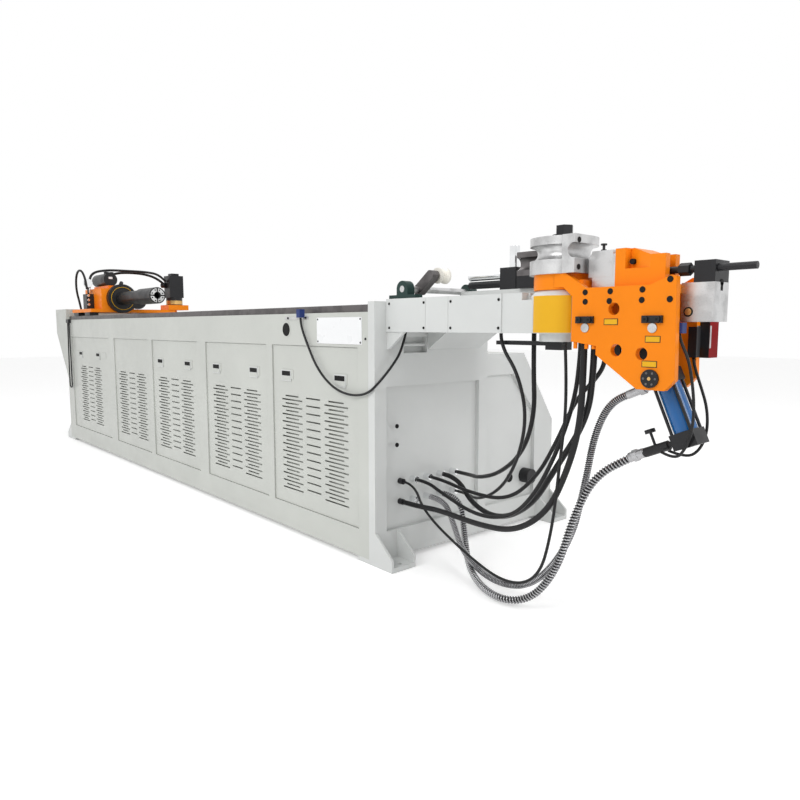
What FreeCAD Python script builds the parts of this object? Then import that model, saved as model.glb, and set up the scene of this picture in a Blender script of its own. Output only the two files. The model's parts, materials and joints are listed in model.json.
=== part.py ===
"""CNC tube bending machine: a louvred bed with a sliding chuck carriage and a swinging bend head.

Millimetres. Places below are bed places: x runs from the front plate towards the bend head,
y from the door side away from it, z up from the floor. seat() shifts them so that the
origin lies on the floor under the middle of the machine.
"""
import FreeCAD, Part
import math
import os
import re
import Sketcher
from FreeCAD import Placement, Rotation, Vector

os.makedirs("parts", exist_ok=True)
document = FreeCAD.newDocument("tube_bender")

SIZES = {
    # bed
    "bed_length": 4120, "cabinet_width": 652, "cabinet_top": 1010, "floor_gap": 19,
    "front_plate_thickness": 40, "post_top": 1050, "rear_plate_thickness": 10,
    "side_width": 494, "side_top": 830, "side_flat_width": 260, "side_chamfer_foot": 492,
    "tail_length": 310, "tail_top": 1100, "tail_straight_foot": 900, "tail_foot": 500,
    "tail_inset": 4, "tail_width": 560,
    # louvred panels, counted from the front
    "front_margin": 107, "panel_foot": 132, "panel_head": 870,
    "door_1_width": 659, "door_2_width": 659, "door_3_width": 668,
    "cover_width": 649, "door_4_width": 910,
    "post_1_width": 53, "post_2_width": 106, "post_3_width": 61, "post_4_width": 118,
    "panel_gap": 2, "panel_setback": 6, "panel_thickness": 3,
    "panel_lip": 22, "panel_void": 30,
    "slot_height": 6.5, "slot_pitch": 34.6, "slot_rows": 13, "slot_top": 637,
    "wide_slot": 170, "narrow_slot": 110, "slot_column_pitch": 171,
    "latch_width": 97, "latch_height": 45, "latch_level": 737, "latch_inset": 126,
    "latch_proud": 2,
    # front plate
    "recess_depth": 20, "recess_left": 60, "recess_right": 600, "recess_foot": 132,
    "recess_head": 716, "side_recess_left": 653, "side_recess_flat": 841,
    "side_recess_head": 733, "side_recess_right": 1006, "side_recess_shoulder": 535,
    "cable_slot_left": 151, "cable_slot_right": 278, "cable_slot_foot": 848,
    "cable_slot_head": 912, "cable_slot_depth": 30, "cross_rod_radius": 7,
    # feet
    "foot_front": 102, "foot_back": 111, "foot_width": 124, "gusset_thickness": 10,
    "gusset_head": 135, "gusset_nose": 30, "anchor_radius": 9, "anchor_inset": 26,
    # rails
    "rail_inset": 30, "rail_width": 50, "rail_height": 30, "far_rail_inset": 570,
    # beam and column
    "spindle_reach": 751, "spindle_setback": 150, "beam_near": 62.4, "beam_width": 160,
    "beam_foot": 932, "beam_top": 1058.7, "relief_run": 91, "relief_reach": 56,
    "relief_foot": 1036, "column_radius": 100, "column_shoulder": 1045,
    "column_top": 1063, "column_neck_radius": 84, "flange_radius": 70, "flange_foot": 906,
    "fit_gap": 0.3, "cover_plate_thickness": 4, "cover_plate_1_end": 221,
    "cover_plate_2_end": 337, "cover_plate_3_end": 579, "cover_plate_gap": 1,
    "beam_gusset_drop": 66, "beam_gusset_run": 100, "beam_gusset_thickness": 12,
    "encoder_bar_start": 514, "encoder_bar_end": 776, "encoder_bar_near": 112,
    "encoder_bar_width": 56, "encoder_bar_height": 13, "encoder_block_length": 60,
    # die table, pressure die and supports on it
    "table_length": 600, "table_width": 378, "bracket_inset": 62, "bracket_run": 110, "bracket_drop": 72,
    "guide_start": 150, "guide_near": 318, "guide_width": 76, "guide_height": 31,
    "boost_block_start": 350, "boost_block_length": 75, "boost_block_height": 80,
    "boost_cylinder_length": 163, "boost_cylinder_radius": 14, "boost_cylinder_low": 22,
    "boost_cylinder_high": 53, "boost_cylinder_spacing": 34,
    "guide_post_radius": 19, "guide_post_height": 80, "guide_post_offset": 38,
    "die_bar_length": 190, "die_bar_end": 636, "die_bar_width": 42, "die_bar_height": 84,
    "die_bar_open_gap": 45, "holder_thickness": 20, "holder_overhang": 12,
    # roller support
    "shaft_reach": 80, "shaft_rise": 36, "shaft_radius": 12.5, "shaft_fit": 0.1,
    "pillow_near_setback": 70, "pillow_far_setback": 420, "pillow_width": 36,
    "pillow_length": 150, "pillow_base": 14, "pillow_ring": 31,
    "roller_arm_length": 86, "roller_arm_angle": 37, "roller_arm_setback": 148,
    "roller_arm_thickness": 34, "roller_arm_width": 38, "roller_radius": 30,
    "roller_waist": 17, "roller_width": 48, "roller_pin_radius": 9, "roller_gap": 6, "roller_boss_radius": 20,
    # bend die
    "bend_radius": 102, "tube_radius": 22, "tube_rise": 116.3, "die_radius": 104,
    "die_foot": 1110, "die_head": 1222, "grip_length": 96, "grip_depth": 42,
    "washer_radius": 37, "washer_thickness": 13, "nut_height": 28, "nut_across": 48,
    # swing arm
    "hub_radius": 90, "arm_half_width": 86, "arm_plate_thickness": 20,
    "arm_inner_reach": 93, "arm_neck_foot": 1069, "neck_chamfer_run": 32,
    "neck_chamfer_foot": 1041, "arm_deck_top": 1064, "arm_deck_thickness": 24,
    "arm_foot": 782, "arm_floor_level": 909, "knee_reach": 177, "knee_level": 897,
    "knee_drop": 25, "toe_reach": 307, "heel_reach": 387, "heel_rise": 29,
    "back_reach": 415, "shoulder_reach": 409, "shoulder_level": 1083, "peak_reach": 394,
    "peak_level": 1087, "saddle_reach": 337, "hub_slope_reach": 138, "hub_slope_head": 68,
    "hub_web_run": 116, "hub_web_head": 1090, "far_plate_cutback": 15,
    "window_radius": 17, "window_1_reach": 231, "window_1_level": 1002,
    "window_2_reach": 242, "window_2_level": 887, "window_3_reach": 319,
    "window_3_level": 879, "link_pin_radius": 13,
    "link_pin_level": 949, "link_pin_1_reach": 140, "link_pin_2_reach": 348,
    "link_pin_proud": 3, "pivot_reach": 347, "pivot_level": 813, "pivot_radius": 15,
    "pivot_cap_radius": 25, "pivot_cap_thickness": 6, "pin_gap": 0.3,
    "lock_tab_length": 58, "lock_tab_height": 20, "lock_tab_thickness": 8,
    "arm_floor_thickness": 14, "arm_floor_length": 70, "swing_gap": 6,
    # clamp slide and screw
    "slide_reach": 216, "slide_length": 149, "slide_half_width": 62, "slide_head": 1170,
    "slide_low_head": 1147, "slide_lug_length": 38, "slide_lug_near": 23,
    "slide_fork_gap": 31, "slide_lug_far": 23, "notch_start": 26, "notch_run": 80, "notch_depth": 24,
    "notch_foot": 1113, "clamp_die_length": 79, "clamp_die_half_width": 35,
    "clamp_die_foot": 1096, "clamp_die_head": 1172, "clamp_gap": 9,
    "screw_level": 1103, "screw_radius": 9.5, "screw_reach": 582, "screw_nut_across": 30,
    "screw_nut_length": 29, "screw_nut_reach": 387, "screw_fit": 0.4,
    # end block and boxes on the arm
    "end_block_reach": 400, "end_block_length": 88, "end_block_half_width": 40,
    "end_block_foot": 965, "end_block_head": 1067, "end_post_reach": 432, "end_post_length": 55,
    "end_post_height": 56, "terminal_box_start": 364, "terminal_box_length": 60,
    "terminal_box_depth": 54, "terminal_box_foot": 866, "terminal_box_height": 100,
    "sensor_start": 384, "sensor_length": 24, "sensor_width": 22, "sensor_foot": 868,
    "sensor_height": 84, "switch_start": 392, "switch_length": 28, "switch_width": 24,
    "switch_foot": 935, "switch_height": 28,
    # clamp cylinder
    "cylinder_radius": 32, "cylinder_tilt": 24, "cylinder_end": 158,
    "cylinder_cap": 70, "cylinder_cap_length": 44, "cylinder_head_length": 38,
    "tie_rod_radius": 4.5, "tie_rod_offset": 28, "valve_neck_radius": 9,
    "valve_neck_length": 25, "valve_length": 76, "valve_radius": 14,
    "valve_stem_radius": 4, "valve_stem_height": 34, "valve_stem_offset": 40,
    "valve_knob_radius": 15, "valve_knob_height": 11,
    # carriage
    "saddle_start": 4000, "saddle_length": 490, "saddle_near": 22, "saddle_width": 670,
    "saddle_thickness": 26, "shoe_height": 26, "shoe_length": 120, "shoe_inset": 40,
    "shoe_gap": 0.4, "shoe_overhang": 8, "headstock_length": 400,
    "headstock_half_width": 148, "headstock_far": 100,
    "headstock_crown": 77.4, "cover_radius": 112, "cover_length": 44,
    "quill_radius": 50, "quill_end": 3060, "chuck_radius": 58, "chuck_end": 2760,
    "chuck_bore": 23, "chuck_bore_length": 240, "jaw_slot": 9, "jaw_depth": 26,
    "jaw_ring_radius": 50, "jaw_bore": 25, "quill_fit": 0.5,
    "spin_motor_radius": 52, "spin_motor_length": 300, "spin_motor_end": 3640,
    "spin_motor_setback": 221, "motor_bed_height": 26, "motor_bed_half_width": 46,
    "servo_side": 118, "servo_height": 182, "servo_setback": 722, "servo_distance": 3590,
    "gearbox_radius": 66, "gearbox_height": 62, "servo_base_height": 42,
    "servo_base_side": 172, "pinion_radius": 38, "pinion_gap": 2, "pinion_height": 30,
    "rack_height": 26, "valve_block_start": 3785,
    "valve_block_length": 90, "valve_block_width": 56, "valve_block_height": 120,
    "gauge_radius": 34, "gauge_thickness": 22, "gauge_rise": 88, "gauge_stem_radius": 7,
    # hoses and fittings on the front plate
    "fitting_radius": 13, "fitting_length": 34, "fitting_pitch": 78, "fitting_first": 212,
    "fitting_high": 325, "fitting_low": 240, "gland_setback": 146, "gland_radius": 12,
    "gland_length": 24, "connector_radius": 36, "connector_length": 52,
    "connector_setback": 950, "connector_level": 232,
    "sensor_reach": 496, "sensor_block": 26, "sensor_stand": 36,
}

sheet = document.addObject("Spreadsheet::Sheet", "Sizes")
for row, (alias, number) in enumerate(SIZES.items(), start=1):
    sheet.set(f"A{row}", alias)
    sheet.set(f"B{row}", str(number))
    sheet.setAlias(f"B{row}", alias)
document.recompute()

FRAME_X = "(bed_length + tail_length - spindle_reach - screw_reach) / 2"
FRAME_Y = "-(cabinet_width + side_width) / 2"
TUBE_LEVEL = "(beam_top + tube_rise)"
NODES = {}


def bound(text):
    """The text as an expression: every size name points into the sheet."""
    return re.sub(r"\b([a-z][a-z_0-9]*)\b(?!\()", r"Sizes.\1", str(text))


def amount(text):
    """The number that an expression of size names stands for."""
    return float(sheet.evalExpression(bound(text)))


def bind(item, **values):
    for name, text in values.items():
        item.setExpression(name, bound(text))


def seat(item, x, y, z, rotation=None):
    """Put item at a bed place, with its own turn."""
    if rotation is not None:
        item.Placement = Placement(Vector(), rotation)
    item.setExpression("Placement.Base.x", bound(f"{FRAME_X} + ({x})"))
    item.setExpression("Placement.Base.y", bound(f"{FRAME_Y} + ({y})"))
    item.setExpression("Placement.Base.z", bound(z))


def node(name, item):
    """Keep item as the sub-part of that name."""
    item.Label = name
    NODES[name] = item
    return item


def block(x, y, z, length, width, height):
    """A box from its lowest corner."""
    item = document.addObject("Part::Box", "block")
    bind(item, Length=length, Width=width, Height=height)
    seat(item, x, y, z)
    return item


AXES = {
    "X": Rotation(Vector(0, 1, 0), 90),
    "-X": Rotation(Vector(0, 1, 0), -90),
    "Y": Rotation(Vector(1, 0, 0), -90),
    "Z": Rotation(),
}


def rod(axis, x, y, z, radius, length):
    """A round bar that starts at a place and runs along an axis."""
    item = document.addObject("Part::Cylinder", "rod")
    bind(item, Radius=radius, Height=length)
    seat(item, x, y, z, AXES[axis])
    return item


def cut(base, *tools):
    item = document.addObject("Part::Cut", "cut")
    item.Base = base
    item.Tool = tools[0] if len(tools) == 1 else fuse(*tools)
    return item


def fuse(*pieces):
    item = document.addObject("Part::MultiFuse", "fuse")
    item.Shapes = list(pieces)
    return item


def set_of(*pieces):
    """Like pieces that stand apart, as one sub-part."""
    item = document.addObject("Part::Compound", "set")
    item.Links = list(pieces)
    return item


def plane_of(body, role):
    return next(f for f in body.Origin.OriginFeatures if f.Role == role)


def place_vertex(sketch, geometry, end, u, v):
    """Tie one end of a sketch line or a circle's centre to two expressions."""
    for kind, text in (("DistanceX", u), ("DistanceY", v)):
        index = sketch.addConstraint(
            Sketcher.Constraint(kind, -1, 1, geometry, end, amount(text))
        )
        sketch.setExpression(f"Constraints[{index}]", bound(text))


def sketch_on(body, role, loops=(), circles=(), offset=None):
    """A sketch of closed straight loops and circles on one of the body's planes."""
    sketch = body.newObject("Sketcher::SketchObject", "sketch")
    sketch.AttachmentSupport = (plane_of(body, role), [""])
    sketch.MapMode = "FlatFace"
    if offset is not None:
        sketch.setExpression("AttachmentOffset.Base.z", bound(offset))
    for points in loops:
        places = [Vector(amount(u), amount(v), 0) for u, v in points]
        first = sketch.GeometryCount
        count = len(points)
        for i in range(count):
            sketch.addGeometry(Part.LineSegment(places[i], places[(i + 1) % count]))
        for i in range(count):
            following = first + (i + 1) % count
            sketch.addConstraint(
                Sketcher.Constraint("Coincident", first + i, 2, following, 1)
            )
        for i, (u, v) in enumerate(points):
            place_vertex(sketch, first + i, 1, u, v)
    for u, v, radius in circles:
        centre = Vector(amount(u), amount(v), 0)
        circle = Part.Circle(centre, Vector(0, 0, 1), amount(radius))
        index = sketch.addGeometry(circle)
        place_vertex(sketch, index, 3, u, v)
        ring = sketch.addConstraint(Sketcher.Constraint("Radius", index, amount(radius)))
        sketch.setExpression(f"Constraints[{ring}]", bound(radius))
    return sketch


def pad(body, sketch, length, back=False):
    feature = body.newObject("PartDesign::Pad", "pad")
    feature.Profile = sketch
    feature.Reversed = back
    bind(feature, Length=length)
    return feature


def pocket(body, sketch, depth, back=False):
    feature = body.newObject("PartDesign::Pocket", "pocket")
    feature.Profile = sketch
    feature.Reversed = back
    bind(feature, Length=depth)
    return feature


def side_profile(x, y, z, outline, width, circles=()):
    """A body with an X-Z outline that is width thick along +Y."""
    body = document.addObject("PartDesign::Body", "body")
    pad(body, sketch_on(body, "XZ_Plane", [outline], circles), width, back=True)
    seat(body, x, y, z)
    return body


def turned(axis, x, y, z, outline):
    """A body turned about an axis from (radius, height) points."""
    body = document.addObject("PartDesign::Body", "body")
    feature = body.newObject("PartDesign::Revolution", "turn")
    profile = sketch_on(body, "XZ_Plane", [outline])
    feature.Profile = profile
    feature.ReferenceAxis = (profile, ["V_Axis"])
    feature.Angle = 360
    seat(body, x, y, z, AXES[axis])
    return body


def rectangle(left, foot, right, head):
    return [(left, foot), (right, foot), (right, head), (left, head)]


# Bed: cabinet with five recessed panels, side cabinet, plates, feet and rails
PANELS = [
    ("door_1_width", True), ("door_2_width", True), ("door_3_width", True),
    ("cover_width", False), ("door_4_width", True),
]


def panel_places():
    """The right edge of each panel, as an expression of the panels before it."""
    places, right = [], "-front_margin"
    for i, (width, latched) in enumerate(PANELS, start=1):
        places.append((width, latched, right))
        if i < len(PANELS):
            right = f"{right} - {width} - post_{i}_width"
    return places


cabinet = document.addObject("PartDesign::Body", "body")
pad(
    cabinet,
    sketch_on(
        cabinet, "XZ_Plane",
        [rectangle("-bed_length", "floor_gap", "-front_plate_thickness", "cabinet_top")],
    ),
    "cabinet_width", back=True,
)
openings = [
    rectangle(f"{right} - {width}", "panel_foot", right, "panel_head")
    for width, latched, right in panel_places()
]
voids = [
    rectangle(
        f"{right} - {width} + panel_lip", "panel_foot + panel_lip",
        f"{right} - panel_lip", "panel_head - panel_lip",
    )
    for width, latched, right in panel_places()
]
pocket(cabinet, sketch_on(cabinet, "XZ_Plane", openings), "panel_setback + panel_thickness")
pocket(
    cabinet, sketch_on(cabinet, "XZ_Plane", voids),
    "panel_setback + panel_thickness + panel_void",
)
seat(cabinet, "0", "0", "0")
node("bed_cabinet", cabinet)


def louvred_panel(width, right):
    """A sheet with a middle column of short slots and two columns of mixed ones."""
    body = document.addObject("PartDesign::Body", "body")
    sheet_outline = rectangle(
        "-panel_gap - (" + width + " - 2 * panel_gap)", "panel_foot + panel_gap",
        "-panel_gap", "panel_head - panel_gap",
    )
    pad(body, sketch_on(body, "XZ_Plane", [sheet_outline]), "panel_thickness", back=True)
    middle = f"-{width} / 2"
    for slot, columns, drop in (
        ("narrow_slot", ("-slot_column_pitch", "0", "slot_column_pitch"), "0"),
        ("wide_slot", ("-slot_column_pitch", "slot_column_pitch"), "slot_pitch / 2"),
    ):
        slots = [
            rectangle(
                f"{middle} + {column} - {slot} / 2", f"slot_top - {drop} - slot_height / 2",
                f"{middle} + {column} + {slot} / 2", f"slot_top - {drop} + slot_height / 2",
            )
            for column in columns
        ]
        sketch = sketch_on(body, "XZ_Plane", slots)
        first = pocket(body, sketch, "2 * panel_thickness")
        rows = body.newObject("PartDesign::LinearPattern", "rows")
        rows.Originals = [first]
        rows.Direction = (sketch, ["V_Axis"])
        rows.Reversed = True
        bind(rows, Length="slot_pitch * (slot_rows - 1)", Occurrences="slot_rows")
        body.Tip = rows
    seat(body, right, "panel_setback", "0")
    return body


def panel_latch(middle):
    return block(
        f"{middle} - latch_width / 2", "panel_setback - latch_proud",
        "latch_level - latch_height / 2", "latch_width", "latch_proud", "latch_height",
    )


panels = []
for width, latched, right in panel_places():
    panel = louvred_panel(width, right)
    if latched:
        latch_places = (f"{right} - latch_inset", f"{right} - {width} + latch_inset")
        panel = fuse(panel, *[panel_latch(middle) for middle in latch_places])
    panels.append(panel)
node("louvred_panels", set_of(*panels))

side_outline = [
    ("cabinet_width", "floor_gap"), ("cabinet_width + side_width", "floor_gap"),
    ("cabinet_width + side_width", "side_chamfer_foot"),
    ("cabinet_width + side_flat_width", "side_top"), ("cabinet_width", "side_top"),
]
side_cabinet = document.addObject("PartDesign::Body", "body")
pad(
    side_cabinet, sketch_on(side_cabinet, "YZ_Plane", [side_outline]),
    "bed_length - front_plate_thickness", back=True,
)
seat(side_cabinet, "-front_plate_thickness", "0", "0")
node("side_cabinet", side_cabinet)

plate_outline = [
    ("0", "floor_gap"), ("cabinet_width + side_width", "floor_gap"),
    ("cabinet_width + side_width", "side_chamfer_foot"),
    ("cabinet_width + side_flat_width", "side_top"), ("cabinet_width", "side_top"),
    ("cabinet_width", "post_top"), ("0", "post_top"),
]
front_plate = document.addObject("PartDesign::Body", "body")
pad(
    front_plate, sketch_on(front_plate, "YZ_Plane", [plate_outline]),
    "front_plate_thickness", back=True,
)
main_recess = rectangle("recess_left", "recess_foot", "recess_right", "recess_head")
side_recess = [
    ("side_recess_left", "recess_foot"), ("side_recess_right", "recess_foot"),
    ("side_recess_right", "side_recess_shoulder"), ("side_recess_flat", "side_recess_head"),
    ("side_recess_left", "side_recess_head"),
]
pocket(
    front_plate, sketch_on(front_plate, "YZ_Plane", [main_recess, side_recess]),
    "recess_depth",
)
cable_slot = rectangle(
    "cable_slot_left", "cable_slot_foot", "cable_slot_right", "cable_slot_head"
)
pocket(front_plate, sketch_on(front_plate, "YZ_Plane", [cable_slot]), "cable_slot_depth")
seat(front_plate, "0", "0", "0")
cross_rod = rod(
    "Y", "-cable_slot_depth / 2", "cable_slot_left",
    "(cable_slot_foot + cable_slot_head) / 2", "cross_rod_radius",
    "cable_slot_right - cable_slot_left",
)
node("front_plate", fuse(front_plate, cross_rod))

rear_plate = document.addObject("PartDesign::Body", "body")
rear_outline = plate_outline[:5] + [("cabinet_width", "cabinet_top"), ("0", "cabinet_top")]
pad(
    rear_plate, sketch_on(rear_plate, "YZ_Plane", [rear_outline]),
    "rear_plate_thickness", back=True,
)
seat(rear_plate, "-bed_length", "0", "0")
node("rear_plate", rear_plate)

tail_outline = [
    ("-rear_plate_thickness", "tail_foot"), ("-rear_plate_thickness", "tail_top"),
    ("-tail_length", "tail_top"), ("-tail_length", "tail_straight_foot"),
]
node("tail_box", side_profile("-bed_length", "tail_inset", "0", tail_outline, "tail_width"))


def foot(x, y, forward):
    """A pad with two gussets that lean on the end plate; forward is +1 or -1 along x."""
    left, right = ("-foot_back", "foot_front") if forward > 0 else ("-foot_front", "foot_back")
    body = document.addObject("PartDesign::Body", "body")
    pad(
        body,
        sketch_on(
            body, "XY_Plane", [rectangle(left, "0", right, "foot_width")],
            [(f"{forward} * (foot_front - anchor_inset)", "foot_width / 2", "anchor_radius")],
        ),
        "floor_gap",
    )
    gusset = [
        ("0", "floor_gap"), (f"{forward} * foot_front", "floor_gap"),
        (f"{forward} * foot_front", "gusset_nose + floor_gap"), ("0", "gusset_head"),
    ]
    for near in ("0", "foot_width - gusset_thickness"):
        sketch = sketch_on(body, "XZ_Plane", [gusset], offset=f"-({near})")
        pad(body, sketch, "gusset_thickness", back=True)
    seat(body, x, y, "0")
    return body


rear_face = "-bed_length - rear_plate_thickness"
far_foot = "cabinet_width + side_width - foot_width"
feet = [
    foot(face, near, forward)
    for face, forward in (("0", 1), (rear_face, -1))
    for near in ("0", far_foot)
]
node("bed_feet", set_of(*feet))

RAIL_LENGTH = "bed_length - front_plate_thickness"
guide_rails = [
    block("-bed_length", inset, "cabinet_top", RAIL_LENGTH, "rail_width", "rail_height")
    for inset in ("rail_inset", "far_rail_inset")
]
feed_rack = block(
    "-bed_length", "cabinet_width", "cabinet_top - rack_height", RAIL_LENGTH,
    "servo_setback - pinion_radius - pinion_gap - cabinet_width", "rack_height",
)
node("guide_rails", set_of(*guide_rails, feed_rack))

# Beam and spindle column
beam = document.addObject("PartDesign::Body", "body")
pad(
    beam,
    sketch_on(
        beam, "XY_Plane",
        [rectangle("0", "beam_near", "spindle_reach", "beam_near + beam_width")],
    ),
    "beam_top - beam_foot",
)
seat(beam, "0", "0", "beam_foot")
column_room = rod(
    "Z", "spindle_reach", "spindle_setback", "flange_foot", "column_radius",
    "column_top - flange_foot",
)
swing_reliefs = [
    block(
        "spindle_reach - relief_run", near, "relief_foot", "relief_run", width,
        "beam_top - relief_foot",
    )
    for near, width in (
        ("beam_near", "spindle_setback - relief_reach - beam_near"),
        (
            "spindle_setback + relief_reach",
            "beam_near + beam_width - spindle_setback - relief_reach",
        ),
    )
]
node("head_beam", cut(beam, column_room, *swing_reliefs))
column_outline = [
    ("0", "flange_foot"), ("flange_radius", "flange_foot"), ("flange_radius", "beam_foot"),
    ("column_radius", "beam_foot"), ("column_radius", "column_shoulder"),
    ("column_neck_radius", "column_top"), ("0", "column_top"),
]
node("spindle_column", turned("Z", "spindle_reach", "spindle_setback", "0", column_outline))
node(
    "encoder_bar",
    fuse(
        block(
            "encoder_bar_start", "encoder_bar_near", "flange_foot - encoder_bar_height",
            "encoder_bar_end - encoder_bar_start", "encoder_bar_width", "encoder_bar_height",
        ),
        block(
            "encoder_bar_end - encoder_block_length", "encoder_bar_near",
            "flange_foot - 2 * encoder_bar_height", "encoder_block_length",
            "encoder_bar_width", "encoder_bar_height",
        ),
    ),
)
cover_plates = []
cover_start = "0"
for end in ("cover_plate_1_end", "cover_plate_2_end", "cover_plate_3_end"):
    cover_plates.append(
        block(
            cover_start, "beam_near - cover_plate_thickness", "beam_foot",
            f"{end} - ({cover_start})", "cover_plate_thickness", "beam_top - beam_foot",
        )
    )
    cover_start = f"{end} + cover_plate_gap"
node("beam_cover_plates", set_of(*cover_plates))
gusset_foot = "beam_foot - beam_gusset_drop"
gusset_outline = [
    ("0", gusset_foot), ("beam_gusset_thickness", gusset_foot),
    ("beam_gusset_run", "beam_foot"), ("0", "beam_foot"),
]
beam_gusset = side_profile("0", "beam_near", "0", gusset_outline, "beam_gusset_thickness")

# Die table with the pressure die group, behind the beam
TABLE_NEAR = "beam_near + beam_width"
die_bed = block(
    "0", TABLE_NEAR, "beam_foot", "table_length", "table_width", "beam_top - beam_foot"
)
die_guide = block(
    "guide_start", "guide_near", "beam_top", "table_length - guide_start", "guide_width",
    "guide_height",
)
node("die_table", fuse(die_bed, die_guide))
bracket_outline = [
    ("0", "beam_foot - bracket_drop"), ("bracket_run", "beam_foot"), ("0", "beam_foot"),
]
table_bracket = side_profile(
    "0", f"{TABLE_NEAR} + bracket_inset", "0", bracket_outline, "table_width - bracket_inset"
)
node("beam_brackets", set_of(beam_gusset, table_bracket))
GUIDE_TOP = "beam_top + guide_height"
boost_body = block(
    "boost_block_start", "guide_near", GUIDE_TOP, "boost_block_length", "guide_width",
    "boost_block_height",
)
guide_post = rod(
    "Z", "boost_block_start + guide_post_offset", "guide_near + guide_width / 2",
    f"{GUIDE_TOP} + boost_block_height", "guide_post_radius", "guide_post_height",
)
node("boost_block", fuse(boost_body, guide_post))
boost_cylinders = []
for level in ("boost_cylinder_low", "boost_cylinder_high"):
    boost_cylinders.append(
        rod(
            "X", "boost_block_start - boost_cylinder_length",
            "guide_near + boost_cylinder_spacing / 2", f"{GUIDE_TOP} + {level}",
            "boost_cylinder_radius", "boost_cylinder_length",
        )
    )
node("boost_cylinders", set_of(*boost_cylinders))

# Pressure die: a grooved bar that closes on the tube line
TUBE_LINE = "spindle_setback + bend_radius"
DIE_BAR_START = "die_bar_end - die_bar_length"
DIE_BAR_NEAR = f"{TUBE_LINE} + die_bar_open_gap"
die_bar = block(
    DIE_BAR_START, DIE_BAR_NEAR, f"{TUBE_LEVEL} - die_bar_height / 2", "die_bar_length",
    "die_bar_width", "die_bar_height",
)
die_bar_groove = rod(
    "X", DIE_BAR_START, DIE_BAR_NEAR, TUBE_LEVEL, "tube_radius", "die_bar_length"
)
node("pressure_die", cut(die_bar, die_bar_groove))
node(
    "pressure_die_holder",
    fuse(
        block(
            DIE_BAR_START, f"{DIE_BAR_NEAR} + die_bar_width", f"{GUIDE_TOP} + fit_gap",
            "die_bar_length - holder_overhang", "holder_thickness",
            "boost_block_height",
        ),
        block(
            DIE_BAR_START, DIE_BAR_NEAR, f"{GUIDE_TOP} + fit_gap",
            "die_bar_length - holder_overhang", "die_bar_width",
            f"{TUBE_LEVEL} - die_bar_height / 2 - ({GUIDE_TOP}) - fit_gap",
        ),
    ),
)

# Tube support roller on a tilting arm between two pillow blocks
SHAFT_LEVEL = "beam_top + shaft_rise"


def pillow_block(setback):
    """A cast bearing housing: a foot, a ring and the shaft's bore."""
    base = block(
        "shaft_reach - pillow_length / 2", setback, "beam_top", "pillow_length",
        "pillow_width", "pillow_base",
    )
    ring = rod("Y", "shaft_reach", setback, SHAFT_LEVEL, "pillow_ring", "pillow_width")
    web = block(
        "shaft_reach - pillow_ring", setback, "beam_top", "2 * pillow_ring",
        "pillow_width", "shaft_rise",
    )
    bore = rod(
        "Y", "shaft_reach", setback, SHAFT_LEVEL, "shaft_radius + shaft_fit", "pillow_width"
    )
    return cut(fuse(base, ring, web), bore)


node(
    "pillow_blocks",
    set_of(pillow_block("pillow_near_setback"), pillow_block("pillow_far_setback")),
)
node(
    "roller_shaft",
    rod(
        "Y", "shaft_reach", "pillow_near_setback", SHAFT_LEVEL, "shaft_radius",
        "pillow_far_setback + pillow_width - pillow_near_setback",
    ),
)
ROLLER_X = "shaft_reach + roller_arm_length * cos(roller_arm_angle)"
ROLLER_Z = f"{SHAFT_LEVEL} + roller_arm_length * sin(roller_arm_angle)"
arm_bar = document.addObject("Part::Box", "bar")
bind(
    arm_bar, Length="roller_arm_length", Width="roller_arm_thickness",
    Height="roller_arm_width",
)
seat(
    arm_bar, "shaft_reach + roller_arm_width / 2 * sin(roller_arm_angle)",
    "roller_arm_setback", f"{SHAFT_LEVEL} - roller_arm_width / 2 * cos(roller_arm_angle)",
    Rotation(Vector(0, -1, 0), amount("roller_arm_angle")),
)
arm_bar.setExpression("Placement.Rotation.Angle", bound("roller_arm_angle"))


arm_boss = rod(
    "Y",
    "shaft_reach", "roller_arm_setback", SHAFT_LEVEL, "roller_boss_radius",
    "roller_arm_thickness",
)
arm_tip = rod(
    "Y",
    ROLLER_X, "roller_arm_setback", ROLLER_Z, "roller_arm_width / 2", "roller_arm_thickness"
)
roller_pin = rod(
    "Y",
    ROLLER_X, "roller_arm_setback", ROLLER_Z, "roller_pin_radius",
    "roller_arm_thickness + roller_width + roller_gap",
)
arm_bore = rod(
    "Y",
    "shaft_reach", "roller_arm_setback", SHAFT_LEVEL, "shaft_radius + shaft_fit",
    "roller_arm_thickness",
)
node("roller_arm", cut(fuse(arm_bar, arm_boss, arm_tip, roller_pin), arm_bore))
ROLLER_NEAR = "roller_arm_setback + roller_arm_thickness"
roller_outline = [
    ("roller_pin_radius + shaft_fit", "0"), ("roller_radius", "0"),
    ("roller_radius", "roller_width / 6"), ("roller_waist", "roller_width / 2"),
    ("roller_radius", "roller_width * 5 / 6"), ("roller_radius", "roller_width"),
    ("roller_pin_radius + shaft_fit", "roller_width"),
]
node(
    "support_roller",
    turned("Y", ROLLER_X, f"{ROLLER_NEAR} + roller_gap", ROLLER_Z, roller_outline),
)

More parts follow.
